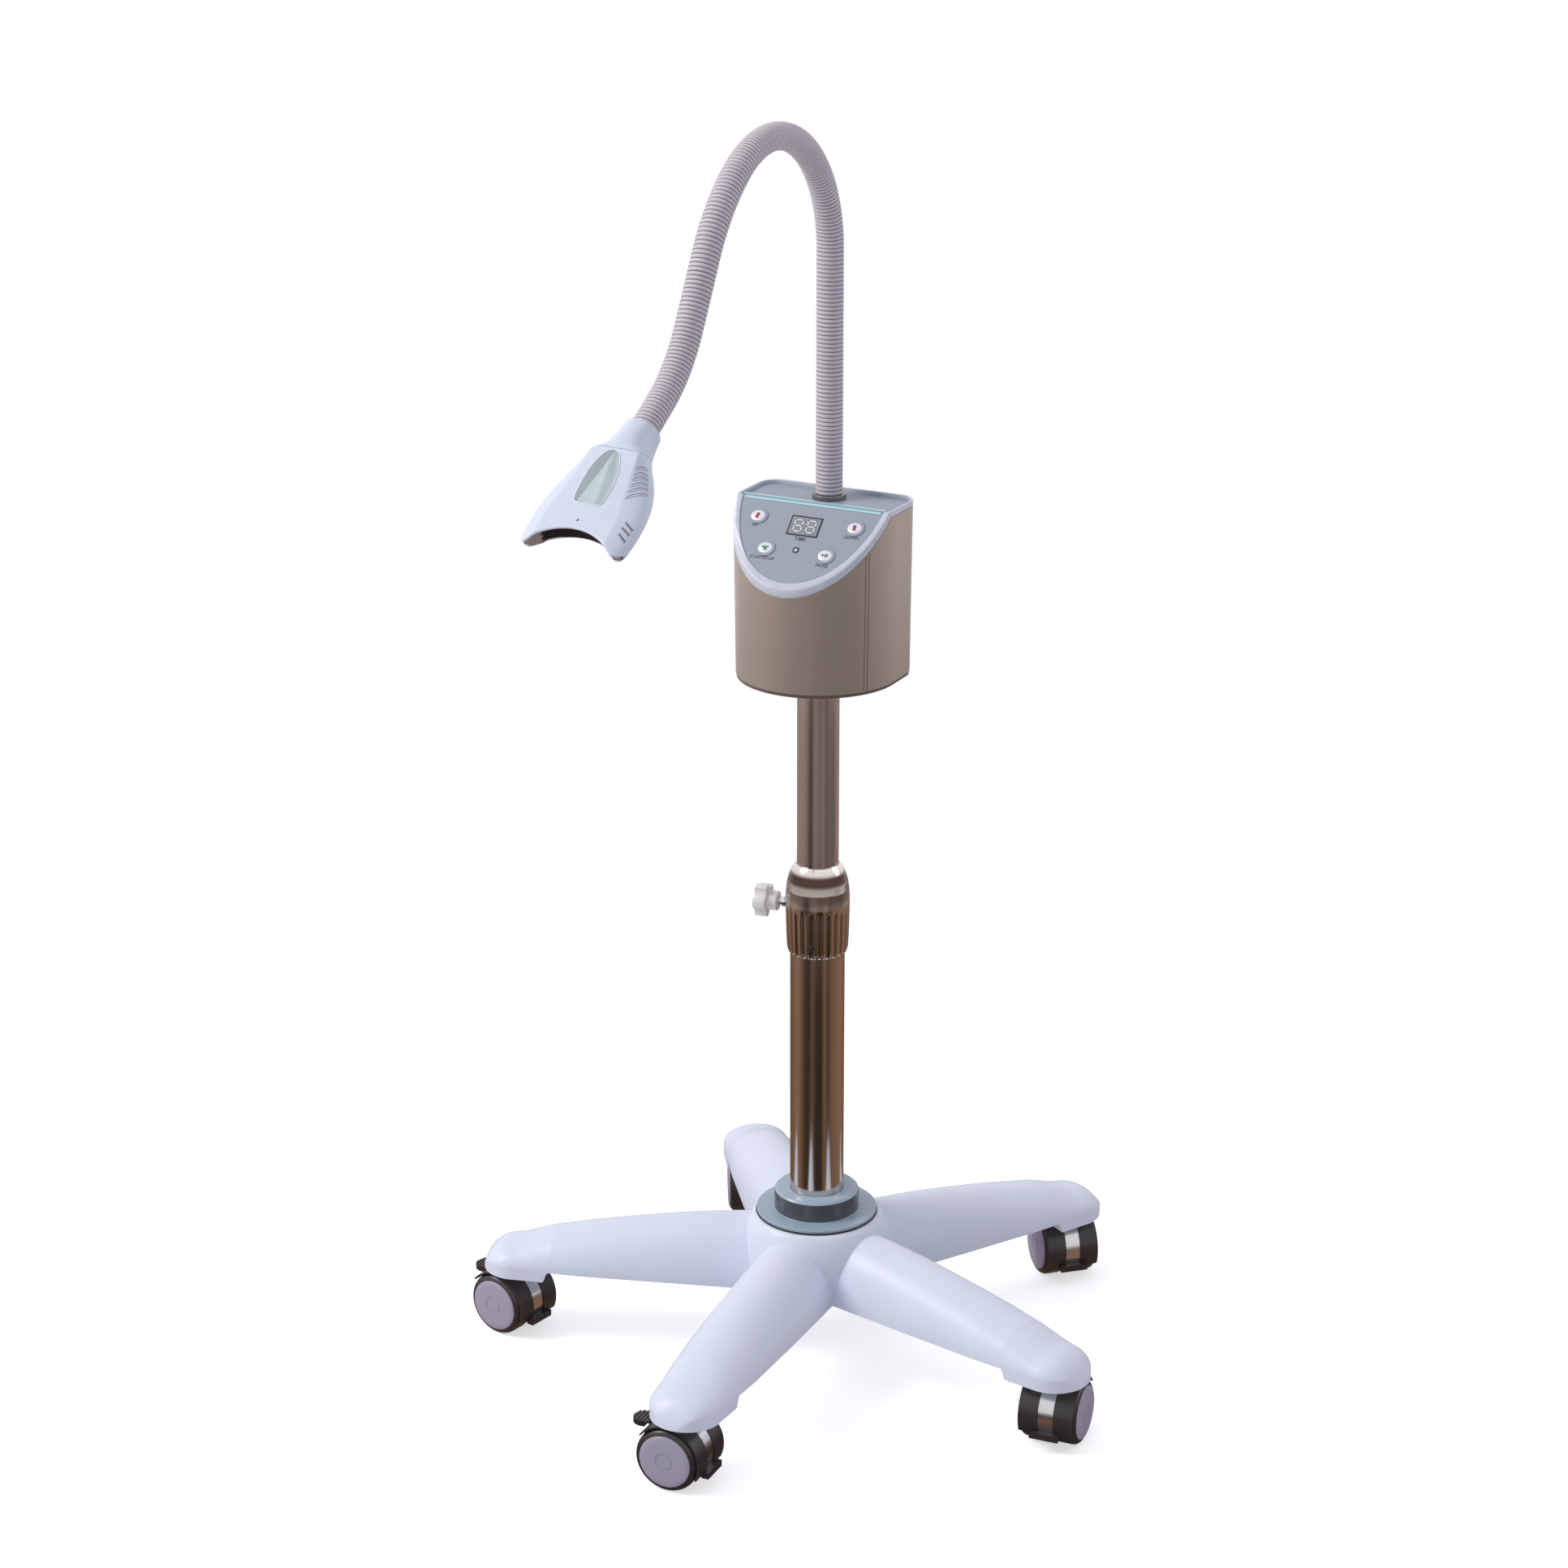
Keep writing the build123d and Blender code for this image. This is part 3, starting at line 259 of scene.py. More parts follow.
def joined(parts):
    """Several (points, faces) as one."""
    points, faces, base = [], [], 0
    for more, shapes in parts:
        more = np.reshape(more, (-1, 3))
        points.append(more)
        faces += [[base + i for i in face] for face in shapes]
        base += len(more)
    return np.vstack(points), faces


def disc(place, x, y, half_x, half_y, rise, skirt, rings=7, around=48):
    """A low dome: at share r of its reach it stands rise * sqrt(1 - r^2) high, and its edge goes down by skirt."""
    share = np.append(np.sin(np.linspace(0, math.pi / 2, rings)), 1.0)
    turn = full_turn(around)
    height = np.append(rise * np.sqrt(1 - share[:-1] ** 2), -skirt)
    flat_x = x + half_x * share[:, None] * np.cos(turn)
    flat_y = y + half_y * share[:, None] * np.sin(turn)
    points = place(flat_x, flat_y, np.broadcast_to(height[:, None], flat_x.shape))
    last = rings * around
    return points, grid_faces(rings + 1, around, closed_columns=True) + [list(range(last, last + around))]


def ring(place, x, y, half_x, half_y, width, height, sink, around=64, steps=9):
    """A half-round rim outside an oval: offset width/2 * (1 - cos t) and height * sin t for t from 0 to pi."""
    t = np.linspace(0, math.pi, steps)
    offset = np.concatenate([width / 2 * (1 - np.cos(t)), [width, 0]])
    lift = np.concatenate([height * np.sin(t), [-sink, -sink]])
    turn = full_turn(around)[:, None]
    flat_x = x + (half_x + offset) * np.cos(turn)
    flat_y = y + (half_y + offset) * np.sin(turn)
    points = place(flat_x, flat_y, np.broadcast_to(lift, flat_x.shape))
    return points, ring_faces(around, steps + 2)


def on_panel(x, down, lift):
    """Panel places in millimetres: BEND + x along X - down along (0, 1, 1) / sqrt 2
    + lift along (0, -1, 1) / sqrt 2."""
    share = math.sqrt(0.5)
    x, down, lift = np.broadcast_arrays(x, down, np.asarray(lift) + PANEL_LIFT)
    return BEND + MM * np.stack([x, -share * (down + lift), share * (lift - down)], -1)


# Gooseneck

def centre_line(distances):
    """Points and headings of the centre line: lean and sway are piecewise straight in distance, the heading is
    (-sin sway sin lean, -cos sway sin lean, cos lean), and the point is its running sum."""
    steps = np.linspace(0.0, NECK_VISIBLE + NECK_INSERT, 2860)
    ends = np.cumsum([0.0] + [length for length, turn in NECK_RUNS])
    leans = np.cumsum([0.0] + [turn for length, turn in NECK_RUNS])

    def heading(at):
        lean = np.radians(np.interp(at, ends, leans))
        sway = np.radians(np.interp(at, SWAY_PLACES, SWAY_TURNS))
        return np.stack([-np.sin(sway) * np.sin(lean), -np.cos(sway) * np.sin(lean), np.cos(lean)], -1)

    middle = heading((steps[1:] + steps[:-1]) / 2) * np.diff(steps)[:, None]
    walked = np.vstack([np.zeros(3), np.cumsum(middle, 0)])
    points = np.stack([np.interp(distances, steps, walked[:, k]) for k in range(3)], -1)
    return NECK_FOOT + MM * points, heading(np.asarray(distances, float))


def ribbed(start, end):
    """The neck from start to end, in millimetres: a circle of radius r at each point of the centre line, with
    r = valley + (crest - valley) * (1 - |2 p - 1|^2.6)^0.7 for the share p of the rib."""
    setting = sizes()
    ribs = max(1, round((end - start) * MM / setting.pitch))
    per_rib = 10
    rows = ribs * per_rib + 1
    at = np.linspace(start, end, rows)
    share = (np.arange(rows) % per_rib) / per_rib
    swell = (1 - np.abs(2 * share - 1) ** 2.6) ** 0.7
    radius = setting.valley + (setting.crest - setting.valley) * swell
    points, ahead = centre_line(at)
    across = np.array([1.0, 0.0, 0.0]) - ahead * ahead[:, :1]
    across /= np.linalg.norm(across, axis=1)[:, None]
    third = np.cross(ahead, across)
    turn = full_turn(setting.around)
    circle = across[:, None] * np.cos(turn)[None, :, None] + third[:, None] * np.sin(turn)[None, :, None]
    return points[:, None] + radius[:, None, None] * circle, capped(rows, setting.around)


def mark_rib_shade(hose):
    """Stores each point's swell: (distance from the centre line - valley) / (crest - valley), from 0 to 1, which
    the neck's finish turns into painted shade in the valleys between the ribs.
    """
    setting = sizes()
    spots = places(hose.data.vertices, "co")
    line = centre_line(np.linspace(0.0, NECK_VISIBLE + NECK_INSERT, 1500))[0]
    far = np.full(len(spots), 1.0)
    for block in np.array_split(np.arange(len(line)), 30):
        gap = ((spots[:, None] - line[None, block]) ** 2).sum(2).min(1)
        far = np.minimum(far, gap)
    share = (np.sqrt(far) - setting.valley) / (setting.crest - setting.valley)
    keep_shade_share(hose, np.clip(share, 0, 1))


# Lamp head

def through(values, at):
    """Natural cubic curve through the values at the head's stations, worked out for an array of places."""
    x, n = HEAD_REACH, len(HEAD_REACH)
    h = np.diff(x)
    rows = np.zeros((n, n))
    right = np.zeros(n)
    rows[0, 0] = rows[-1, -1] = 1
    inner = np.arange(1, n - 1)
    rows[inner, inner - 1], rows[inner, inner], rows[inner, inner + 1] = h[:-1], 2 * (h[:-1] + h[1:]), h[1:]
    slopes = np.diff(values) / h
    right[1:-1] = 6 * np.diff(slopes)
    bend = np.linalg.solve(rows, right)
    k = np.clip(np.searchsorted(x, at) - 1, 0, n - 2)
    a, c, w = x[k + 1] - at, at - x[k], h[k]
    return ((bend[k] * a ** 3 + bend[k + 1] * c ** 3) / (6 * w) + (values[k] / w - bend[k] * w / 6) * a
            + (values[k + 1] / w - bend[k + 1] * w / 6) * c)


def head_axes():
    """Origin on the seam, and the directions towards the mouth, to the side and out of the top."""
    end, ahead = centre_line(np.array([NECK_VISIBLE]))
    along = ahead[0]
    level = np.array([-along[1], along[0], 0.0])
    level *= math.copysign(1.0, level[0]) / np.linalg.norm(level)
    rise = -np.cross(level, along)
    rise *= math.copysign(1.0, rise[2])
    top = rise * math.cos(HEAD_ROLL) - level * math.sin(HEAD_ROLL)
    return end[0] + MM * CONE_LENGTH * along, along, np.cross(top, along), top


def in_head(reach, side, height):
    """Places of the head in the frame, from millimetres towards the mouth, to the side and upwards."""
    origin, along, across, top = head_axes()
    reach, side, height = np.broadcast_arrays(reach, side, height)
    return origin + MM * (reach[..., None] * along + side[..., None] * across + height[..., None] * top)


def crown(reach, share):
    """Height of the top at a share of the half width: (1 - share^n)^(1/n) at the neck, passing into a roof
    1 - 0.05 (side / crease)^2 up to the crease and 0.95 (1 - q)^0.47 for the share q of the way beyond it."""
    half = through(HEAD_HALF, reach)
    power = through(HEAD_ROUND, reach)
    share = np.clip(share, 0.0, 1.0)
    smooth = (1 - share ** power) ** (1 / power)
    crease = np.interp(reach, CREASE_REACH, CREASE_SIDE)
    beyond = np.clip((share * half - crease) / (half - crease), 0.0, 1.0)
    bent = np.where(share * half < crease, 1 - 0.05 * (share * half / crease) ** 2, 0.95 * (1 - beyond) ** 0.47)
    part = np.clip((reach - 1.0) / 14.0, 0.0, 1.0)
    part = part * part * (3 - 2 * part)
    return smooth + (bent - smooth) * part


def section(reach, turn, inset):
    """Side and height of the section: half |cos|^(2/n), and over crown or under |sin|^(2/n), less the inset."""
    power = 2 / through(HEAD_ROUND, reach)
    c, s = np.cos(turn), np.sin(turn)
    share = np.abs(c) ** power
    side = (through(HEAD_HALF, reach) - inset) * np.sign(c) * share
    above = (through(HEAD_OVER, reach) - inset) * crown(reach, share)
    below = (through(HEAD_UNDER, reach) - inset) * np.abs(s) ** power
    return side, np.where(s > 1e-9, above, -below)


def mouth_end(turn):
    """Where the shell ends: centre - sqrt(radius^2 - side^2), rounded off to the tips; found by repetition."""
    reach = np.full_like(turn, HEAD_END)
    for _ in range(30):
        side = np.minimum(np.abs(section(reach, turn, 0.0)[0]), MOUTH_RADIUS - 1)
        arc = MOUTH_CENTRE - np.sqrt(MOUTH_RADIUS ** 2 - side ** 2)
        over = np.clip((side - TIP_START) / TIP_ROUND, 0, 0.97)
        tip = HEAD_END - TIP_ROUND * (1 - np.sqrt(1 - over ** 2))
        reach = 0.5 * reach + 0.5 * np.minimum(arc, tip)
    return reach


def seam_start(turn):
    """Where the shell starts: shift + slope * height, found by repetition."""
    reach = np.full_like(turn, SEAM_SHIFT)
    for _ in range(30):
        reach = 0.5 * reach + 0.5 * (SEAM_SHIFT + SEAM_SLOPE * section(reach, turn, 0.0)[1])
    return reach


def cover(first, last):
    """Half of the head's shell, from turn first to turn last: outer skin from the seam to the mouth, a round lip
    and the inner skin back, each ring a closed loop, with the parting faces at both turns. The lower half ends
    1.5 + 3.5 sin^2 millimetres short of the mouth."""
    wall = sizes().shell / MM
    turn = np.linspace(first, last, 161)
    start, end = seam_start(turn) + SEAM_GAP, mouth_end(turn)
    if first > 1:
        end -= 1.5 + 3.5 * np.sin(turn) ** 2
    run = np.linspace(0, 1, 44) ** 0.9
    lip = wall / 2
    outer = start + SEAM_STEP + (end - lip - start - SEAM_STEP) * run[:, None]
    round_t = np.linspace(0, math.pi, 9)[1:-1, None]
    rim = end - lip + lip * np.sin(round_t)
    edge = np.stack([start, start])
    reach = np.vstack([edge, outer, rim, outer[::-1], edge[:1]])
    inset = np.concatenate([[wall, SEAM_STEP], np.zeros(44), lip * (1 - np.cos(round_t[:, 0])),
                            np.full(45, wall)])
    side, height = section(reach, turn[None, :], inset[:, None])
    points = in_head(reach, side, height)
    rows, columns = reach.shape
    faces = grid_faces(rows, columns, closed_rows=True)
    ends = [[k * columns for k in range(rows)], [k * columns + columns - 1 for k in range(rows)]]
    return points, faces + ends


def cone():
    """The head's neck piece: a quarter-round lip, the outer skin to the seam, and a bore for the gooseneck."""
    turn = full_turn(CONE_AROUND)
    end = seam_start(turn) - SEAM_GAP
    lean = np.linspace(math.pi / 2, 0, 6)[:5, None]
    lip = CONE_LIP * (1 - np.sin(lean)) - CONE_LENGTH + 0 * turn
    start = CONE_LIP - CONE_LENGTH
    body = start + (end - 0.3 - start) * np.linspace(0, 1, 24)[:, None]
    reach = np.vstack([lip, body, end[None]])
    inset = np.concatenate([CONE_LIP * (1 - np.cos(lean[:, 0])), np.zeros(24), [SEAM_STEP]])
    side, height = section(reach, turn[None, :], inset[:, None])
    outer = in_head(reach, side, height)
    bore = [(-CONE_LENGTH, 12.3), (-CONE_LENGTH + 9.5, 12.3), (-CONE_LENGTH + 9.5, 7.5)]
    inner = np.stack([in_head(np.full_like(turn, r), radius * np.cos(turn), radius * np.sin(turn))
                      for r, radius in reversed(bore)])
    back = in_head(end - 0.3, *[7.5 * f(turn) for f in (np.cos, np.sin)])[None]
    points = np.vstack([outer, back, inner])
    return points, ring_faces(len(points), CONE_AROUND)


def on_head(reach, side, lift):
    """Places on the top of the head: height over times crown, then lift along the normal."""
    def top(r, s):
        return through(HEAD_OVER, r) * crown(r, np.clip(np.abs(s) / through(HEAD_HALF, r), 0, 0.999))
    reach, side, lift = np.broadcast_arrays(np.asarray(reach, float), np.asarray(side, float), lift)
    h = top(reach, side)
    fall_r = (top(reach + 0.1, side) - top(reach - 0.1, side)) / 0.2
    fall_s = (top(reach, side + 0.1) - top(reach, side - 0.1)) / 0.2
    size = np.sqrt(1 + fall_r ** 2 + fall_s ** 2)
    return in_head(reach - lift * fall_r / size, side - lift * fall_s / size, h + lift / size)


def window_outline(count=72):
    """Bullet shape: half width against reach through the listed places, rounded at the tip, a bowed far end."""
    tip, corner, far = 13.5, 64.0, 67.0
    reach = np.array([tip, 15.0, 18.5, 26.0, 34.0, 46.0, 56.0, 62.0, corner])
    half = np.array([0.0, 4.2, 7.2, 10.6, 12.9, 14.0, 13.8, 13.4, 12.2])
    share = np.linspace(0, 1, count)
    place = tip + (corner - tip) * share ** 1.8
    width = np.interp(place, reach, half)
    width[:] = np.convolve(np.pad(width, 2, mode="edge"), np.ones(5) / 5, "valid")
    width[0] = 0.0
    bow = np.linspace(-1, 1, 25)[1:-1]
    end = np.stack([corner + (far - corner) * np.sqrt(1 - bow ** 2) ** 0.8, -bow * width[-1]], 1)
    right = np.stack([place, width], 1)
    left = np.stack([place[::-1], -width[::-1]], 1)
    return np.vstack([right, end, left[:-1]])


# Materials

def fill(tree, node, sockets):
    """Links each socket, by its name or number, to another node's output, or sets it to a plain value."""
    for key, value in sockets.items():
        if isinstance(value, bpy.types.NodeSocket):
            tree.links.new(value, node.inputs[key])
        else:
            node.inputs[key].default_value = value


def add_node(tree, kind, sockets=None, **settings):
    """A new shader node, with its settings made before its sockets are filled."""
    node = tree.nodes.new("ShaderNode" + kind)
    for key, value in settings.items():
        setattr(node, key, value)
    fill(tree, node, sockets or {})
    return node


def calculate(tree, operation, first, second):
    """A clamped sum or product of two values, each a number or another node's output."""
    return add_node(tree, "Math", {0: first, 1: second}, operation=operation, use_clamp=True).outputs[0]


def new_material(name):
    made = bpy.data.materials.new(name)
    made.use_nodes = True
    return made, made.node_tree


def material(name, base, rough, metal=0.0, vary=0.05, vary_scale=14.0, grain=900.0, bump=0.05, spread=0.06,
             stretch=(1, 1, 1), coat=0.0, painted_dark_tint=None, gloss=0.5):
    """Noise over the object shifts the colour by +-vary and the roughness by +-spread, and a fine grain bumps it.
    With a dark tint, the colour is scaled by it where the piece's swell attribute is 0, and kept where it is 1:
    painted shade and painted dark reflection."""
    spare = bpy.data.materials.get(name)
    if spare:
        spare.name = name + "_plain"
    made, tree = new_material(name)
    where = add_node(tree, "TexCoord").outputs["Object"]
    where = add_node(tree, "Mapping", {"Scale": stretch, "Vector": where}).outputs["Vector"]
    broad, fine = (add_node(tree, "TexNoise", {"Scale": scale, "Detail": detail, "Vector": where}).outputs["Fac"]
                   for scale, detail in ((vary_scale, 4.0), (grain, 3.0)))

    def mixed(first, second, factor, blend="MIX"):
        return add_node(tree, "Mix", {"Factor": factor, 6: first, 7: second}, data_type="RGBA",
                        blend_type=blend).outputs[2]

    tinted = mixed([c * (1 - vary) for c in base] + [1], [min(1.0, c * (1 + vary)) for c in base] + [1], broad)
    # painted shade and painted dark reflection where the swell attribute is low
    if painted_dark_tint:
        swell = add_node(tree, "Attribute", attribute_name="swell").outputs["Fac"]
        tinted = mixed(tinted, mixed([*painted_dark_tint, 1], [1, 1, 1, 1], swell), 1.0, "MULTIPLY")
    span = add_node(tree, "MapRange", {"To Min": max(0.02, rough - spread), "To Max": rough + spread,
                                       "Value": broad})
    relief = add_node(tree, "Bump", {"Strength": bump, "Distance": 0.0002, "Height": fine})
    fill(tree, tree.nodes["Principled BSDF"], {
        "Base Color": tinted, "Roughness": span.outputs["Result"], "Normal": relief.outputs["Normal"],
        "Metallic": metal, "Specular IOR Level": gloss, "Coat Weight": coat, "Coat Roughness": 0.08})
    return made


def make_materials():
    """One finish for each slot and each painted detail: its colour, its roughness and what differs from plain."""
    tone = shades()
    chrome = tuple(tone.chrome)
    table = {
        "white_enamel": (tone.enamel, 0.38, dict(vary=0.03, bump=0.03, grain=260, gloss=0.32)),
        "grey_cap": ((0.34, 0.43, 0.52), 0.28, dict(vary=0.06, bump=0.06, gloss=0.4)),
        "tube_chrome": (chrome, 0.13, dict(metal=1.0, vary=0.04, stretch=(1, 1, 0.05), grain=500, bump=0.02)),
        "collar_chrome": ([c * 1.08 for c in chrome], 0.10, dict(metal=1.0, vary=0.03, bump=0.02)),
        # the sleeve's dark tint paints a dark reflection band on the dome and shade in the flutes
        "sleeve_chrome": ([min(1, c * 1.2) for c in chrome], 0.12,
                          dict(metal=1.0, vary=0.03, bump=0.02, painted_dark_tint=(0.10, 0.065, 0.055))),
        "castor_black": ((0.034, 0.027, 0.027), 0.34, dict(vary=0.2, bump=0.12)),
        "castor_metal": ((0.62, 0.61, 0.63), 0.22, dict(metal=1.0, vary=0.06)),
        "wheel_grey": ((0.40, 0.365, 0.47), 0.42, dict(vary=0.07, bump=0.14)),
        "knob_white": ((0.80, 0.78, 0.76), 0.30, dict(vary=0.04, coat=0.3)),
        "bush_plastic": ((0.02, 0.02, 0.02), 0.55, dict(vary=0.2, bump=0.2)),
        "case_silver": (tone.case, 0.36, dict(metal=0.6, vary=0.04, bump=0.04, grain=1500, gloss=0.3)),
        "case_white": (tone.rim, 0.28, dict(vary=0.10, vary_scale=60, coat=0.25, bump=0.03, gloss=0.35)),
        "panel_grey": (tone.panel, 0.48, dict(vary=0.06, bump=0.08)),
        "plate_dark": ((0.13, 0.09, 0.075), 0.5, dict(vary=0.2, bump=0.15)),
        "board_green": ((0.01, 0.06, 0.03), 0.5, dict(vary=0.2)),
        "display_dark": ((0.012, 0.014, 0.017), 0.16, dict(vary=0.2, coat=0.5)),
        "button_white": (tone.key, 0.25, dict(vary=0.03, coat=0.5, bump=0.02)),
        "supply_metal": ((0.5, 0.5, 0.5), 0.4, dict(metal=1.0, vary=0.1)),
        "inlet_black": ((0.012, 0.012, 0.012), 0.45, dict(vary=0.2, bump=0.15)),
        "screw_steel": ((0.5, 0.5, 0.52), 0.3, dict(metal=1.0, vary=0.1)),
        # the gooseneck's dark tint is painted shade in the valleys between the ribs
        "neck_steel": (tone.steel, 0.55,
                       dict(vary=0.05, vary_scale=30, bump=0.04, painted_dark_tint=(0.28, 0.22, 0.22), gloss=0.3)),
        "head_white": (tone.head, 0.36, dict(vary=0.025, bump=0.03, grain=1200, gloss=0.34)),
        "window_glass": (tone.glass, 0.14, dict(vary=0.10, vary_scale=45, coat=0.6, bump=0.02)),
        "lens_dark": ((0.012, 0.007, 0.006), 0.55, dict(vary=0.25)),
        "clear_rim": (tone.clear, 0.15, dict(vary=0.06, coat=0.7, bump=0.02)),
        "ink_dark": ((0.02, 0.02, 0.025), 0.5, dict(vary=0.2, bump=0.05)),
        "ink_white": ((0.62, 0.66, 0.66), 0.45, dict(vary=0.05, bump=0.05)),
        "ink_red": ((0.45, 0.035, 0.04), 0.4, dict(vary=0.1, bump=0.05)),
        "ink_green": ((0.06, 0.30, 0.10), 0.4, dict(vary=0.1, bump=0.05)),
        "screen_grey": ((0.26, 0.27, 0.33), 0.3, dict(vary=0.05, coat=0.4)),
        # painted cyan highlight on the panel's lip
        "strip_light": (tone.strip, 0.25, dict(vary=0.1, coat=0.5, bump=0.02)),
        "mark_green": ((0.20, 0.32, 0.24), 0.5, dict(vary=0.1)),
        # dark grey for the neck nut: painted shade round the neck's foot
        "nut_painted_shade": ((0.20, 0.19, 0.20), 0.35, dict(metal=0.6, vary=0.1)),
        "cheek_beige": ((0.33, 0.25, 0.23), 0.45, dict(vary=0.10, bump=0.1)),
        # lighter and darker glass: painted reflections on the window's facets
        "window_painted_reflection": ((0.50, 0.60, 0.61), 0.10, dict(vary=0.08, vary_scale=45, coat=0.6, bump=0.02)),
        "window_painted_dark_reflection": ((0.30, 0.36, 0.40), 0.14, dict(vary=0.12, vary_scale=45, coat=0.6, bump=0.02)),
        "window_rim": ((0.80, 0.83, 0.87), 0.25, dict(vary=0.08, gloss=0.4)),
        # darker finish for the flange ring's side faces: painted shade
        "cap_painted_shade": ((0.075, 0.085, 0.105), 0.2, dict(vary=0.1, bump=0.05)),
        "shade_line": ((0.22, 0.22, 0.26), 0.5, dict(vary=0.1)),
    }
    return {name: material(name, base, rough, **more) for name, (base, rough, more) in table.items()}


def finish_of(name):
    return bpy.data.materials[name]


class LAMP_OT_materials(bpy.types.Operator):
    """Makes the lamp's materials and gives each carried-over part its own"""
    bl_idname = "lamp.materials"
    bl_label = "Materials"

    def execute(self, context):
        made = make_materials()
        for node, thing in frame["nodes"].items():
            thing.data.materials.clear()
            thing.data.materials.append(made[SLOT_OF[node]])
        return {"FINISHED"}


class LAMP_OT_gooseneck(bpy.types.Operator):
    """Makes the four lengths of ribbed gooseneck"""
    bl_idname = "lamp.gooseneck"
    bl_label = "Gooseneck"

    def execute(self, context):
        mark_rib_shade(piece("gooseneck_arch", *ribbed(LINK_END, ARCH_END), "neck_upper", "neck_steel",
                         nodes=["neck_arch"]))
        rows = [("gooseneck_riser", 0.0, RISER_END, "neck_riser", "mast", "neck_middle", 12.0, 98.0),
                ("gooseneck_link", RISER_END, LINK_END, "neck_link", "neck_middle", "neck_upper", 122.0, 204.0),
                ("gooseneck_drop", ARCH_END, NECK_VISIBLE + NECK_INSERT, "neck_drop", "neck_upper", "head",
                 580.0, 690.0)]
        for name, start, end, node, lower, upper, bend_start, bend_end in rows:
            hose = piece(name, *ribbed(start, end), None, "neck_steel", nodes=[node])
            mark_rib_shade(hose)
            first, last = centre_line(np.array([bend_start, bend_end]))[0]
            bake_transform(hose)
        return {"FINISHED"}


class LAMP_OT_head(bpy.types.Operator):
    """Makes the lamp head: cone, two covers, mouth, window, vents and slots"""
    bl_idname = "lamp.head"
    bl_label = "Lamp head"

    def execute(self, context):
        for name, shape, node in (("cone", cone(), "socket"), ("top_cover", cover(0.0, math.pi), "top_shell"),
                                  ("under_cover", cover(math.pi, 2 * math.pi), "bottom_shell")):
            piece("head_" + name, *shape, "head", "head_white", nodes=[node], sharp=50)
        self.mouth()
        self.window()
        self.vents()
        return {"FINISHED"}

    def mouth(self):
        """Wall across the mouth over side and height, set back by 1.6 + 3.2 / (1 + exp(2.5 (|side| - 29)))."""
        side = np.linspace(-44.0, 44.0, 89)
        arc = MOUTH_CENTRE - np.sqrt(MOUTH_RADIUS ** 2 - side ** 2)
        reach = np.minimum(arc, HEAD_END - 2.0)
        deep = 1.6 + 3.2 / (1 + np.exp((np.abs(side) - 29.0) * 2.5))
        n = through(HEAD_ROUND, reach)
        share = np.clip(np.abs(side) / (through(HEAD_HALF, reach) - 1.0), 0, 0.995)
        swell = (1 - share ** n) ** (1 / n)
        over, under = (through(HEAD_OVER, reach) - 1.2) * swell, (through(HEAD_UNDER, reach) - 1.2) * swell
        level = np.linspace(0, 1, 15)[:, None]
        height = -under + (over + under) * level
        front, back = (in_head(reach - deep - thick, side, height) for thick in (0.0, 1.5))
        count = 15 * 89
        index = np.arange(count).reshape(15, 89)
        loop = np.concatenate([index[0], index[1:, -1], index[-1, -2::-1], index[-2:0:-1, 0]])
        sides = np.stack([loop, np.roll(loop, -1), np.roll(loop, -1) + count, loop + count], 1).tolist()
        faces = grid_faces(15, 89) + [[i + count for i in f] for f in grid_faces(15, 89)] + sides
        wall = piece("mouth_wall", np.vstack([front.reshape(-1, 3), back.reshape(-1, 3)]), faces, "head",
                     "lens_dark", "cheek_beige", ["mouth_lens"], sharp=50)
        wall.data.materials.append(finish_of("lens_dark"))
        origin, along, across, top = head_axes()
        sideways = (places(wall.data.polygons, "center") - origin) @ across
        paint(wall, np.abs(sideways) < CHEEK_START * MM)

    def window(self):
        """Pane over the outline, higher by 0.55 (1 - r^3) and a facet at share r, in three tones of which two are
        a painted light reflection and a painted dark reflection on the facets, and its trim.
        """
        edge = window_outline()
        centre = np.array([WINDOW_MIDDLE, 0.0])
        share = np.linspace(0, 1, 14)[:, None, None]
        flat = centre + (edge - centre) * share
        facet = 0.5 * np.clip((flat[..., 1] + 2.0 - 0.10 * (flat[..., 0] - 20)) / 3.0, 0, 1)
        lift = 0.25 + 0.55 * (1 - share[..., 0] ** 3) + facet * (1 - share[..., 0] ** 6)
        upper = on_head(flat[..., 0], flat[..., 1], lift)
        lower = on_head(edge[:, 0], edge[:, 1], -0.6)
        points = np.vstack([upper.reshape(-1, 3), lower])
        count = len(edge)
        faces = grid_faces(15, count, closed_columns=True) + [list(range(14 * count, 15 * count))]
        pane = piece("window_glass_pane", points, faces, "head", "window_glass", nodes=["window"], sharp=60)
        # a lighter and a darker copy of the glass: painted reflections on the facets
        pane.data.materials.append(finish_of("window_painted_reflection"))
        pane.data.materials.append(finish_of("window_painted_dark_reflection"))
        origin, along, across, top = head_axes()
        off = (places(pane.data.polygons, "center") - origin) / MM
        reach, aside = off @ along - WINDOW_TIP, off @ across
        paint(pane, np.where(aside < 2.5 - 0.235 * reach, 2, np.where(aside < 1.5 + 0.115 * reach, 1, 0)))
        ray = edge - centre
        far = np.linalg.norm(ray, axis=1)[:, None]
        t = np.linspace(0, math.pi, 7)
        offset = np.concatenate([0.55 * (1 - np.cos(t)) - 0.2, [0.9, -0.2]])
        height = np.concatenate([0.15 + 0.55 * np.sin(t), [-0.5, -0.5]])
        flat = centre + ray[:, None] * (1 + offset[None, :, None] / far[:, None])
        rim = on_head(flat[..., 0], flat[..., 1], height)
        piece("window_trim", rim, ring_faces(count, 9), "head", "head_white", "window_rim", sharp=60)

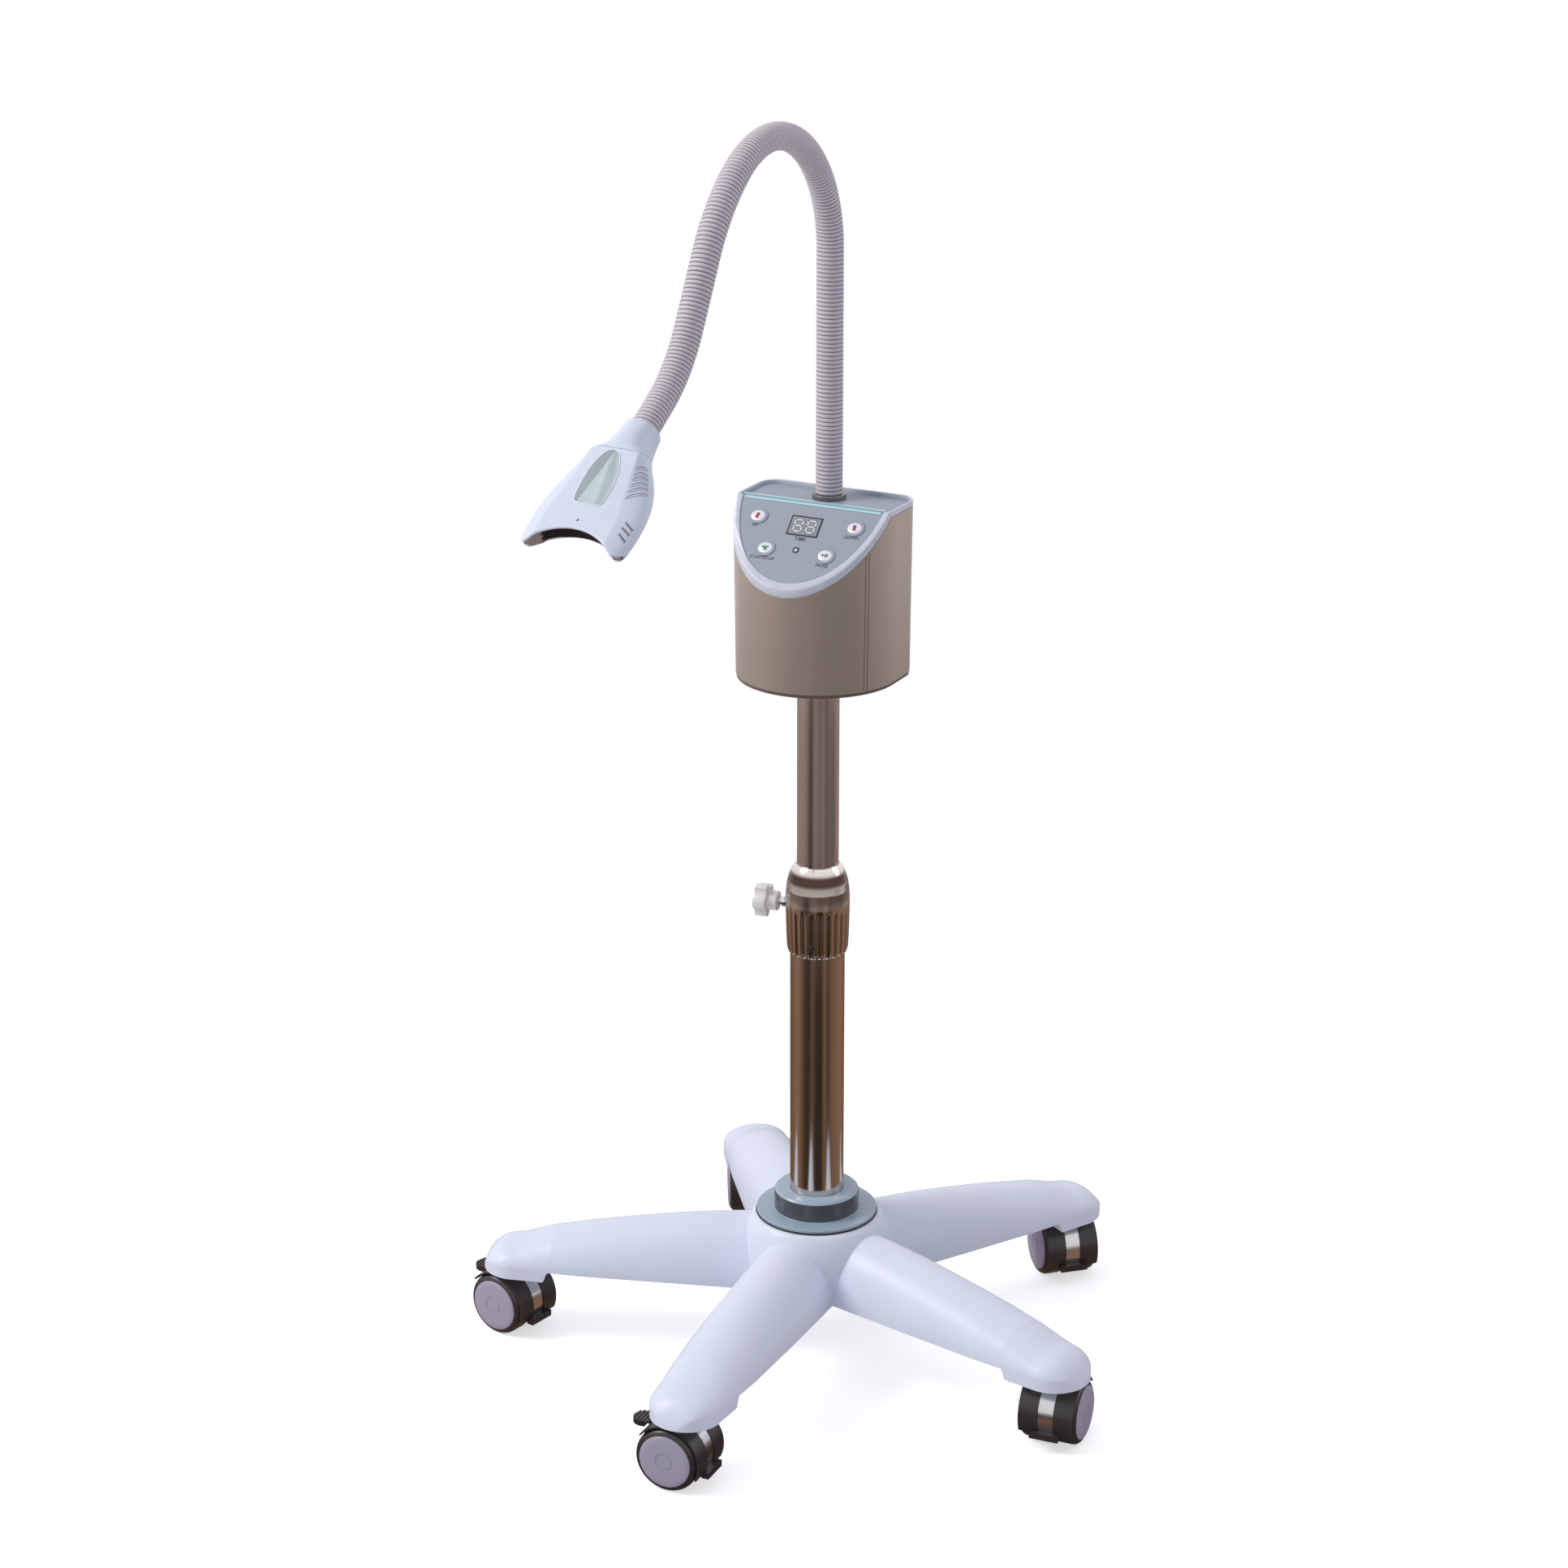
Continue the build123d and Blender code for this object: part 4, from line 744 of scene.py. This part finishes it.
    def vents(self):
        """Six ribs, bowed from a straight line by 6.8 s (1 - s), and three slots: each a dark bar of painted shade
        and a light bar.
        """
        rows = [(19.8, 29.6, 26.5, 24.6), (24.8, 32.2, 32.4, 25.4), (28.6, 34.2, 37.2, 26.2),
                (32.8, 36.2, 43.0, 27.0), (36.9, 38.1, 48.8, 27.6), (41.7, 40.3, 54.4, 28.6)]
        share = np.linspace(0, 1, 16)
        dark, light = [], []
        for row in rows:
            path = np.linspace(row[:2], row[2:], 16)
            path[:, 0] -= 6.8 * share * (1 - share)
            width = 0.15 + 0.45 * np.sin(math.pi * np.clip(share + 0.05, 0, 1)) ** 0.5
            dark.append(strip(path, width, -0.4, 0.06, on_head))
            light.append(strip(path + np.array([1.15, 0.5]), width, -0.4, 0.38, on_head))
        slots = [(75.0, 38.2, 78.9, 45.0), (80.6, 37.9, 84.0, 44.6), (86.7, 37.9, 90.9, 44.4)]
        for row in slots:
            path = np.linspace(row[:2], row[2:], 16)
            dark.append(strip(path, 0.85, -0.5, 0.05, on_head))
            light.append(strip(path + np.array([1.6, -0.7]), 0.45, -0.4, 0.22, on_head))
        # dark bars: painted shade in the grooves and slots
        piece("vent_slots", *joined(dark), "head", "lens_dark", "shade_line")
        piece("vent_ribs", *joined(light), "head", "head_white")
        piece("sensor_dot", *disc(on_head, 83.0, 0.0, 1.0, 1.0, 0.12, 0.3), "head", "lens_dark", "ink_dark")


class LAMP_OT_keys(bpy.types.Operator):
    """Makes the domed keys with their marks, and the clear rims round them"""
    bl_idname = "lamp.keys"
    bl_label = "Keys"

    def execute(self, context):
        setting = sizes()
        half_x, half_y = KEY_HALF
        rims = []
        for name, (x, down) in KEYS.items():
            def place(u, v, h, x=x, down=down):
                share = np.clip(((u - x) / half_x) ** 2 + ((v - down) / half_y) ** 2, 0, 1)
                return on_panel(u, v, h + KEY_LIFT + KEY_DOME * np.sqrt(1 - share * 0.98))

            def flat(u, v, h):
                return on_panel(u, v, h + KEY_LIFT)
            body = name + "_key"
            piece(name + "_key_cap", *disc(flat, x, down, half_x, half_y, KEY_DOME, 2.1, rings=12), body,
                  "button_white", nodes=[name + "_button"], sharp=60)
            self.marks(name, x, down, place, body)
            rims.append(ring(on_panel, x, down, half_x + 0.15, half_y + 0.15, setting.halo / MM,
                             setting.halo_height / MM, 0.3))
        piece("key_rims", *joined(rims), "mast", "button_white", "clear_rim")
        return {"FINISHED"}

    def marks(self, name, x, down, place, body):
        """The red bars, the green fan or the dark play and pause sign of a key, as bars over its dome."""
        def bars(rows, ink):
            parts = []
            for ax, ay, bx, by, half in rows:
                path = np.linspace((x + ax, down + ay), (x + bx, down + by), 9)
                parts.append(strip(path, half, -0.2, 0.07, place))
            piece(name + "_mark_" + ink, *joined(parts), body, "button_white", "ink_" + ink)
        if name in ("up", "down"):
            way = -1 if name == "up" else 1
            bars([(-0.4, -2.7 * way, 0.4, 2.7 * way, 1.5)], "red")
        elif name == "start":
            bars([(0.2, 2.9, -0.5, -2.4, 0.6), (-0.2, 0.7, -3.1, -1.3, 0.75), (0.0, 0.9, 3.0, -1.9, 0.8),
                  (0.1, 1.9, 2.6, 1.6, 0.6)], "green")
        else:
            bars([(-2.6, 0.0, -2.2, 0.0, 1.7), (-2.2, 0.0, -1.4, 0.0, 1.1), (-1.4, 0.0, -0.7, 0.0, 0.5),
                  (0.6, -1.6, 0.6, 1.6, 0.55), (2.3, -1.6, 2.3, 1.6, 0.6)], "dark")


class LAMP_OT_display(bpy.types.Operator):
    """Makes the time display, the lamp under it, the lettering and the painted highlight strip behind the panel"""
    bl_idname = "lamp.display"
    bl_label = "Display and lettering"

    def execute(self, context):
        def bar(x0, d0, x1, d1, half, low, high):
            return strip(np.linspace((x0, d0), (x1, d1), 3), half, low, high, on_panel)
        middle, (half_x, half_y), edge = SCREEN_MIDDLE, SCREEN_HALF, SCREEN_EDGE
        piece("screen_face", *bar(-half_x + 1.1, middle, half_x - 1.1, middle, half_y - 1.1, -0.9, 0.42), "mast",
              "display_dark", "screen_grey", ["display"], smooth=False)
        levels = [middle + way * (half_y - edge) for way in (-1, 1)]
        rows = [(-half_x, level, half_x, level) for level in levels]
        rows += [(place, middle - half_y, place, middle + half_y) for place in (edge - half_x, half_x - edge)]
        frame_bars = [bar(*row, edge, -0.9, 0.62) for row in rows]
        piece("screen_frame", *joined(frame_bars), "mast", "display_dark", smooth=False)
        w, h = DIGIT_HALF
        for ink, grow, high in (("dark", 0.6, 0.48), ("white", 0.1, 0.54)):
            cut = 0.85 - grow
            strokes = [(cut - w, y, w - cut, y) for y in (-h, 0, h)]
            strokes += [(x, y + cut, x, y + h - cut) for x in (-w, w) for y in (-h, 0)]
            parts = [bar(x + x0, middle + d0, x + x1, middle + d1, 0.80 + grow, 0.2, high)
                     for x in (-6.2, 6.2) for x0, d0, x1, d1 in strokes]
            piece("digits_" + ink, *joined(parts), "mast", "display_dark", "ink_" + ink, smooth=False)
        piece("signal_lamp_rim", *ring(on_panel, *SIGNAL_LAMP, 1.7, 1.7, 1.5, 0.45, 0.3, around=40), "mast",
              "display_dark", "ink_dark")
        piece("signal_lamp", *disc(on_panel, *SIGNAL_LAMP, 1.7, 1.7, 0.5, 0.8), "mast", "button_white",
              "clear_rim")
        self.letters()
        self.strip_and_marks()
        return {"FINISHED"}

    def letters(self):
        """Plain lettering, made flat and then laid on the panel."""
        down_way = -np.array([0.0, 1.0, 1.0]) * math.sqrt(0.5)
        normal = np.array([0.0, -1.0, 1.0]) * math.sqrt(0.5)
        meshes = []
        for words, (x, down) in LABELS.items():
            curve = bpy.data.curves.new("label", "FONT")
            curve.body = words
            curve.size = sizes().letter * (1.25 if words == "TIME" else 1.0)
            curve.align_x = curve.align_y = "CENTER"
            curve.extrude = curve.offset = 0.00006
            text = put("label", curve)
            mesh = bpy.data.meshes.new_from_object(text.evaluated_get(bpy.context.evaluated_depsgraph_get()))
            origin = on_panel(x, down, 0.02)
            turn = Matrix(np.column_stack([[1, 0, 0], -down_way, normal]).tolist()).to_4x4()
            mesh.transform(Matrix.Translation(Vector(origin)) @ turn)
            bpy.data.objects.remove(text)
            meshes.append(mesh)
        for mesh, words in zip(meshes, LABELS):
            name = "label_" + words.replace("/", "_").lower()
            faces = [list(face.vertices) for face in mesh.polygons]
            piece(name, places(mesh.vertices, "co"), faces, "mast", "display_dark", "ink_dark", smooth=False)

    def strip_and_marks(self):
        """Two bars along the bend, one behind it and one on the panel, coloured as a painted cyan highlight on the
        panel's lip, and three spots on the top.
        """
        def flat(x, y, h):
            return MM * np.stack(np.broadcast_arrays(x, y, np.asarray(h)), -1)
        bars = [strip(np.linspace((-69.0, -8.9), (69.0, -8.9), 9), 1.0, 820.3, 824.2, flat),
                strip(np.linspace((-66.0, 2.2), (66.0, 2.2), 9), 1.0, -0.4, 0.5, on_panel)]
        piece("panel_lip_highlight", *joined(bars), "mast", "panel_grey", "strip_light", smooth=False)
        marks = [disc(lambda u, v, h: flat(u, v, h + 820.5), x, y, 3.0, 1.8, 0.12, 0.3)
                 for x, y in ((-54.0, 32.0), (-29.0, 35.0), (43.0, 35.0))]
        piece("top_marks", *joined(marks), "mast", "panel_grey", "mark_green")


class LAMP_OT_wheels(bpy.types.Operator):
    """Makes the ten castor wheels, each a black tyre round a grey disc"""
    bl_idname = "lamp.wheels"
    bl_label = "Castor wheels"

    def execute(self, context):
        """A profile of radius against distance from the castor's middle, turned about the axle."""
        bend = np.linspace(0, math.pi / 2, 7)
        inner = np.stack([28 + 2 * np.sin(bend), 10 - 2 * np.cos(bend)], 1)
        tread = np.stack([24 + 6 * np.cos(bend), 21 + 6 * np.sin(bend)], 1)[:-1]
        face = [(24.9, 27.0), (24.7, 26.5), (24.5, 26.5), (24.3, 27.4), (23.6, 27.95), (20.0, 28.35), (9.4, 28.55),
                (8.7, 28.55), (8.5, 28.1), (7.1, 28.1), (6.9, 28.55), (0.4, 28.6)]
        profile = np.vstack([[(0.4, 8.0)], inner, tread, face])
        turn = full_turn(72)
        for number, (leg, pedal) in enumerate(zip(LEG_TURNS, PEDAL_TURNS), 1):
            leg, pedal = math.radians(leg), math.radians(pedal)
            ahead = np.array([math.cos(pedal), math.sin(pedal), 0.0])
            axle = np.array([-ahead[1], ahead[0], 0.0])
            middle = MM * (np.array([LEG_REACH * math.cos(leg), LEG_REACH * math.sin(leg), WHEEL_RADIUS])
                           + CASTOR_TRAIL * ahead)
            for side, body, node in ((1, "left", "a"), (-1, "right", "b")):
                circle = ahead * np.cos(turn)[:, None] + np.array([0, 0, 1.0]) * np.sin(turn)[:, None]
                points = (middle + MM * (profile[:, None, :1] * circle[None] + side * profile[:, None, 1:] * axle))
                wheel = piece("castor_%d_tyre_%s" % (number, body), points, capped(len(profile), 72),
                              "castor_%d_%s" % (number, body), "wheel_grey", "castor_black",
                              ["castor_%d_wheel_%s" % (number, node)], sharp=50)
                wheel.data.materials.append(finish_of("wheel_grey"))
                off = places(wheel.data.polygons, "center") - middle
                wide = np.linalg.norm(off - (off @ axle)[:, None] * axle, axis=1)
                paint(wheel, (side * (off @ axle) > 26.45 * MM) & (wide < 24.8 * MM))
        return {"FINISHED"}


class LAMP_OT_star(bpy.types.Operator):
    """Makes the star base: hub, five arched legs, a dark ring of painted shade in the gap under the flange, and
    the collar on the pole
    """
    bl_idname = "lamp.star"
    bl_label = "Star base"

    def execute(self, context):
        for number, azimuth in enumerate(LEG_TURNS, 1):
            piece("leg_%d" % number, *self.leg(math.radians(azimuth)), "base", "white_enamel",
                  nodes=["star_base"] if number == 1 else [], sharp=60)
        piece("hub", *self.turned(HUB), "base", "white_enamel", sharp=60)
        self.collar()
        # dark ring of painted shade under the flange
        piece("flange_gap_shade", *self.turned(FLANGE_GAP_SHADE), "base", "grey_cap", "ink_dark")
        return {"FINISHED"}

    def collar(self):
        """Egg-shaped sleeve: a profile of radius against height, less depth * |cos(n a / 2)|^3 in its fluted part,
        with a share that paints shade into the flutes and a dark reflection band onto the dome, and the dark end
        of the grub screw."""
        rows = np.array(SLEEVE)
        place = np.cumsum(np.concatenate([[0], np.hypot(*np.diff(rows, axis=0).T)]))
        fine = np.unique(np.concatenate([place, np.linspace(0, place[-1], 90)]))
        radius, height = np.interp(fine, place, rows[:, 0]), np.interp(fine, place, rows[:, 1])
        turn = full_turn(240)
        deep = FLUTE_DEPTH * (radius > 26) * np.interp(height, [400.3, 401.5, 440, 447], [0, 1, 1, 0])
        flute = np.abs(np.cos(FLUTES / 2 * turn)) ** 3
        wide = radius[:, None] - deep[:, None] * flute
        points = np.stack([wide * np.cos(turn), wide * np.sin(turn), height[:, None] + 0 * wide], -1)
        sleeve = piece("collar_sleeve", MM * points, ring_faces(len(fine), 240), "base", "collar_chrome",
                       "sleeve_chrome", ["collar"], sharp=60)
        spots = places(sleeve.data.vertices, "co") / MM
        # painted dark reflection band round the dome and painted shade in the flutes
        level = np.interp(spots[:, 2], [440, 451, 455, 467, 470, 477, 480, 485],
                          [1, 0.95, 0.5, 0.4, 0.0, 0.0, 0.9, 1])
        valley = np.cos(FLUTES / 2 * np.arctan2(spots[:, 1], spots[:, 0])) ** 2
        valley *= np.interp(spots[:, 2], [401, 403, 440, 447], [0, 1, 1, 0])
        keep_shade_share(sleeve, level * (1 - 0.6 * valley))
        c, s = math.cos(math.radians(GRUB_TURN)), math.sin(math.radians(GRUB_TURN))

        def face(u, v, h):
            out = 28.6 + h
            return MM * np.stack([out * c - u * s, out * s + u * c, v + GRUB_HEIGHT], -1)
        piece("collar_grub", *disc(face, 0.0, 0.0, 2.6, 2.6, 0.1, 1.2, rings=4, around=24), "base",
              "collar_chrome", "ink_dark")

    def turned(self, profile):
        """A closed profile of radius against height, turned about the upright axis into a ring."""
        rows = np.asarray(profile, float)
        turn = full_turn(128)
        points = np.stack([rows[:, :1] * np.cos(turn), rows[:, :1] * np.sin(turn),
                           np.broadcast_to(rows[:, 1:], (len(rows), 128))], -1)
        return MM * points, ring_faces(len(rows), 128)

    def leg(self, azimuth):
        """Ring at each reach: side = half |cos|^0.97, height = low + (top - low) |sin|^1.02, closed by a wall down
        to a flat foot; beyond the castor the half width and the height fall as sqrt(1 - s^2) and
        (1 - s^2.4)^0.62, and the foot steps down to the castor's boss."""
        nose = LEG_REACH
        boss = nose - BOSS_BACK
        reach = np.concatenate([np.linspace(34, boss - 1, 60), np.linspace(boss, nose, 24)[:-1],
                                nose + NOSE_LENGTH * np.sin(np.linspace(0, math.pi / 2, 26))])
        half, top, low = (np.interp(reach, *table) for table in (LEG_HALVES, LEG_TOPS, LEG_LOWS))
        top = np.convolve(np.pad(top, 5, mode="reflect", reflect_type="odd"), np.ones(11) / 11, "valid")
        past = np.clip((reach - nose) / NOSE_LENGTH, 0, 1)
        half = np.maximum(half * np.sqrt(1 - past ** 2), 0.4)
        step = np.clip((reach - boss) / BOSS_SLOPE, 0, 1)
        foot = low - 0.3 - BOSS_DROP * step * step * (3 - 2 * step)
        top = foot + (top - foot) * np.maximum((1 - past ** 2.4) ** 0.62, 0.06)
        low = np.minimum(low, foot + (top - foot) * 0.7)
        turn = np.linspace(0, math.pi, 49)
        c, s = np.cos(turn), np.sin(turn)
        side = half[:, None] * np.sign(c) * np.abs(c) ** 0.97
        height = low[:, None] + (top - low)[:, None] * np.abs(s) ** 1.02
        flat = np.linspace(-1, 1, 13)
        side = np.hstack([side, half[:, None] * flat])
        height = np.hstack([height, np.broadcast_to(foot[:, None], (len(reach), 13))])
        along = np.broadcast_to(reach[:, None], side.shape)
        points = MM * np.stack([along * math.cos(azimuth) - side * math.sin(azimuth),
                                along * math.sin(azimuth) + side * math.cos(azimuth), height], -1)
        return points, capped(len(reach), side.shape[1])


class LAMP_OT_softened(bpy.types.Operator):
    """Rounds the moulded edges of the box, flange and knob over their CAD parts"""
    bl_idname = "lamp.softened"
    bl_label = "Rounded parts"

    def execute(self, context):
        edge = sizes().edge
        rows = [("housing", "mast", 0.0, 14), ("bezel", "mast", edge, 40), ("base_flange", "base", 0.0009, 40),
                ("clamp_knob", "clamp", 0.0008, 50), ("neck_nut", "mast", 0.0005, 40)]
        for node, body, width, angle in rows:
            mesh = frame["nodes"][node].data.copy()
            work = bmesh.new()
            work.from_mesh(mesh)
            bmesh.ops.remove_doubles(work, verts=work.verts, dist=2e-6)
            if width:
                bmesh.ops.dissolve_limit(work, angle_limit=math.radians(0.6), verts=work.verts, edges=work.edges)
            work.to_mesh(mesh)
            work.free()
            mesh.materials.clear()
            # the neck nut is dark grey: painted shade of the ring where the neck goes into the panel
            mesh.materials.append(finish_of("nut_painted_shade" if node == "neck_nut" else SLOT_OF[node]))
            mesh.shade_smooth()
            # the ring's upright side faces get a darker finish: painted shade
            if node == "base_flange":
                mesh.materials.append(finish_of("cap_painted_shade"))
                for face in mesh.polygons:
                    face.material_index = int(abs(face.normal.z) < 0.5 and face.center.z > 0.1435)
            thing = put(node + "_rounded", mesh)
            if width:
                bevel = thing.modifiers.new("round", "BEVEL")
                bevel.width, bevel.segments, bevel.harden_normals = width, 3, True
                bevel.limit_method, bevel.angle_limit = "ANGLE", math.radians(angle)
            else:
                mesh.set_sharp_from_angle(angle=math.radians(angle))
            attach(thing, body)
            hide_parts(node)
        return {"FINISHED"}


class LAMP_OT_stage(bpy.types.Operator):
    """Makes the floor, the soft lamps, the reflector cards and the camera"""
    bl_idname = "lamp.stage"
    bl_label = "Stage"

    def execute(self, context):
        scene = context.scene
        scene.view_settings.view_transform = "Standard"
        self.world(scene)
        self.floor()
        self.cards()
        self.lamps()
        self.camera(scene)
        return {"FINISHED"}

    def seen_directly(self, tree):
        """1 for camera, mirror and glass rays: camera + glossy + transmission, clamped."""
        path = add_node(tree, "LightPath").outputs
        seen = calculate(tree, "ADD", path["Is Camera Ray"], path["Is Transmission Ray"])
        return calculate(tree, "ADD", seen, path["Is Glossy Ray"])

    def world(self, scene):
        """White to the eye and in mirrors, and dimmer as a light."""
        scene.world = bpy.data.worlds.new("studio")
        scene.world.use_nodes = True
        tree = scene.world.node_tree
        tree.nodes.clear()
        light = add_node(tree, "Background", {"Color": (0.90, 0.91, 1.0, 1), "Strength": 0.45})
        white = add_node(tree, "Background", {"Color": (1, 1, 1, 1), "Strength": 1.0})
        mix = add_node(tree, "MixShader", {0: self.seen_directly(tree), 1: light.outputs[0], 2: white.outputs[0]})
        add_node(tree, "OutputWorld", {"Surface": mix.outputs[0]})

    def floor(self):
        """A disc of radius 8 m just under the wheels: matt near the lamp, so that it keeps the shadow, and plain
        white to the eye and in mirrors from 0.6 m to 1.3 m out and beyond."""
        turn = full_turn(64)
        points = np.stack([8 * np.cos(turn), 8 * np.sin(turn), np.full(64, -0.0002)], 1)
        floor = put("floor", mesh_of("floor", points, [list(range(64))]))
        made, tree = new_material("floor_white")
        shader, seen = tree.nodes["Principled BSDF"], self.seen_directly(tree)
        fill(tree, shader, {
            "Base Color": (0.80, 0.80, 0.81, 1), "Roughness": 0.9, "Specular IOR Level": 0.1,
            "Emission Color": (1, 1, 1, 1), "Emission Strength": calculate(tree, "MULTIPLY", seen, 0.60)})
        where = add_node(tree, "TexCoord").outputs["Object"]
        far = add_node(tree, "VectorMath", {0: where}, operation="LENGTH").outputs["Value"]
        fade = add_node(tree, "MapRange", {"From Min": 0.6, "From Max": 1.3, "Value": far},
                        interpolation_type="SMOOTHSTEP").outputs["Result"]
        white = add_node(tree, "Emission")
        mix = add_node(tree, "MixShader", {0: calculate(tree, "MULTIPLY", fade, seen), 1: shader.outputs[0],
                                           2: white.outputs[0]})
        fill(tree, tree.nodes["Material Output"], {"Surface": mix.outputs[0]})
        floor.data.materials.append(made)

    def cards(self):
        """A brown card laid round the lamp on the floor, which only its metal and gloss mirror: tone in percent is
        read from tables by azimuth and by distance, straight between their entries; warm is the share of brown."""
        azimuth = full_turn(144)
        reach = np.array([0.0, 0.25, 0.95, 1.35, 2.10, 2.35, 4.2])
        at = [0, 30, 50, 75, 150, 205, 225, 238, 250, 262, 275, 290, 305, 318, 326, 340, 360]
        near = [20, 26, 30, 22, 16, 30, 20, 9, 5, 4.5, 14, 5, 3, 7, 22, 8, 20]
        upper = [20, 16, 30, 34, 36, 36, 30, 22, 10, 8, 28, 30, 22, 26, 30, 16, 20]
        box = [50, 100, 105, 100, 100, 100, 95, 80, 68, 52, 32, 16, 10, 8, 9, 20, 50]
        rings = [np.interp(np.degrees(azimuth), at, row) / 100 for row in [near] * 3 + [upper] * 2 + [box] * 2]
        tints = [(1, 0.60, 0.38)] * 3 + [(1, 0.78, 0.71)] * 4
        tone = np.stack([level[:, None] * np.array(tint) for level, tint in zip(rings, tints)])
        warm = np.interp(np.degrees(azimuth), [0, 20, 205, 262, 330, 360], [0.3, 0, 0, 1, 1, 0.3])[:, None]
        plain, brown = np.array([1, 0.97, 0.98]), np.array([0, 0.27, 0.42])
        tone[-2:] = np.array(rings[-2:])[..., None] * (plain - warm * brown)
        points = np.stack([reach[:, None] * np.cos(azimuth), reach[:, None] * np.sin(azimuth),
                           np.full((len(reach), len(azimuth)), 0.0008)], -1)
        mesh = mesh_of("floor_card", points, grid_faces(len(reach), len(azimuth), closed_columns=True))
        kept = mesh.color_attributes.new("tone", "FLOAT_COLOR", "POINT")
        kept.data.foreach_set("color", np.dstack([tone, np.ones(tone.shape[:2])]).astype(np.float32).ravel())
        made, tree = new_material("card_brown")
        tree.nodes.remove(tree.nodes["Principled BSDF"])
        read = add_node(tree, "Attribute", attribute_name="tone").outputs["Color"]
        glow = add_node(tree, "Emission", {"Color": read})
        fill(tree, tree.nodes["Material Output"], {"Surface": glow.outputs[0]})
        mesh.materials.append(made)
        card = put("floor_card", mesh)
        card.visible_camera = card.visible_shadow = card.visible_diffuse = card.visible_transmission = False

    def lamps(self):
        """Three round lamps, each turned towards the middle of the stand: name, place, size, power, colour."""
        rows = [("key_lamp", (-3.6, -2.4, 4.0), 2.4, 180.0, (1.0, 0.99, 0.97)),
                ("rim_lamp", (3.0, 2.2, 2.4), 2.0, 20.0, (0.98, 0.96, 1.0)),
                ("top_lamp", (0.2, -0.3, 4.2), 2.2, 16.0, (1.0, 1.0, 1.0))]
        for name, place, size, power, tint in rows:
            data = bpy.data.lights.new(name, "AREA")
            data.shape, data.size, data.energy, data.color = "DISK", size, power, tint
            lamp = put(name, data)
            lamp.location = place
            lamp.rotation_euler = (Vector((0, 0, 0.6)) - Vector(place)).to_track_quat("-Z", "Y").to_euler()

    def camera(self, scene):
        """The photo's camera, solved from the tubes, the pole ends, the castors and the flange."""
        data = bpy.data.cameras.new("camera")
        data.lens, data.sensor_width, data.shift_x, data.clip_end = 83.74, 36.0, 0.00078, 50
        camera = put("camera", data)
        right, up, ahead = (0.8915, 0.4530, 0.0), (-0.1503, 0.2957, 0.9434), (-0.4274, 0.8411, -0.3317)
        turn = Matrix((right, up, [-a for a in ahead])).transposed().to_4x4()
        camera.matrix_world = Matrix.Translation((1.3726, -2.7711, 1.6471)) @ turn
        scene.camera = camera


STEPS = ("materials", "gooseneck", "head", "keys", "display", "wheels", "star", "softened", "stage")


class LAMP_PT_panel(bpy.types.Panel):
    """Sizes, colours and steps of the lamp"""
    bl_idname = "LAMP_PT_panel"
    bl_label = "Lamp"
    bl_space_type = "VIEW_3D"
    bl_region_type = "UI"
    bl_category = "Lamp"

    def draw(self, context):
        for group in (context.scene.lamp_sizes, context.scene.lamp_colours):
            for name in group.bl_rna.properties.keys():
                if name not in ("rna_type", "name"):
                    self.layout.prop(group, name)
        for step in STEPS:
            self.layout.operator("lamp." + step)


CLASSES = (LampSizes, LampColours, LAMP_OT_materials, LAMP_OT_gooseneck, LAMP_OT_head, LAMP_OT_keys,
           LAMP_OT_display, LAMP_OT_wheels, LAMP_OT_star, LAMP_OT_softened, LAMP_OT_stage, LAMP_PT_panel)


def register():
    for kind in CLASSES:
        bpy.utils.register_class(kind)
    bpy.types.Scene.lamp_sizes = PointerProperty(type=LampSizes)
    bpy.types.Scene.lamp_colours = PointerProperty(type=LampColours)


def unregister():
    del bpy.types.Scene.lamp_sizes
    del bpy.types.Scene.lamp_colours
    for kind in reversed(CLASSES):
        bpy.utils.unregister_class(kind)


def main():
    register()
    for step in STEPS:
        getattr(bpy.ops.lamp, step)()


if __name__ == "__main__":
    main()
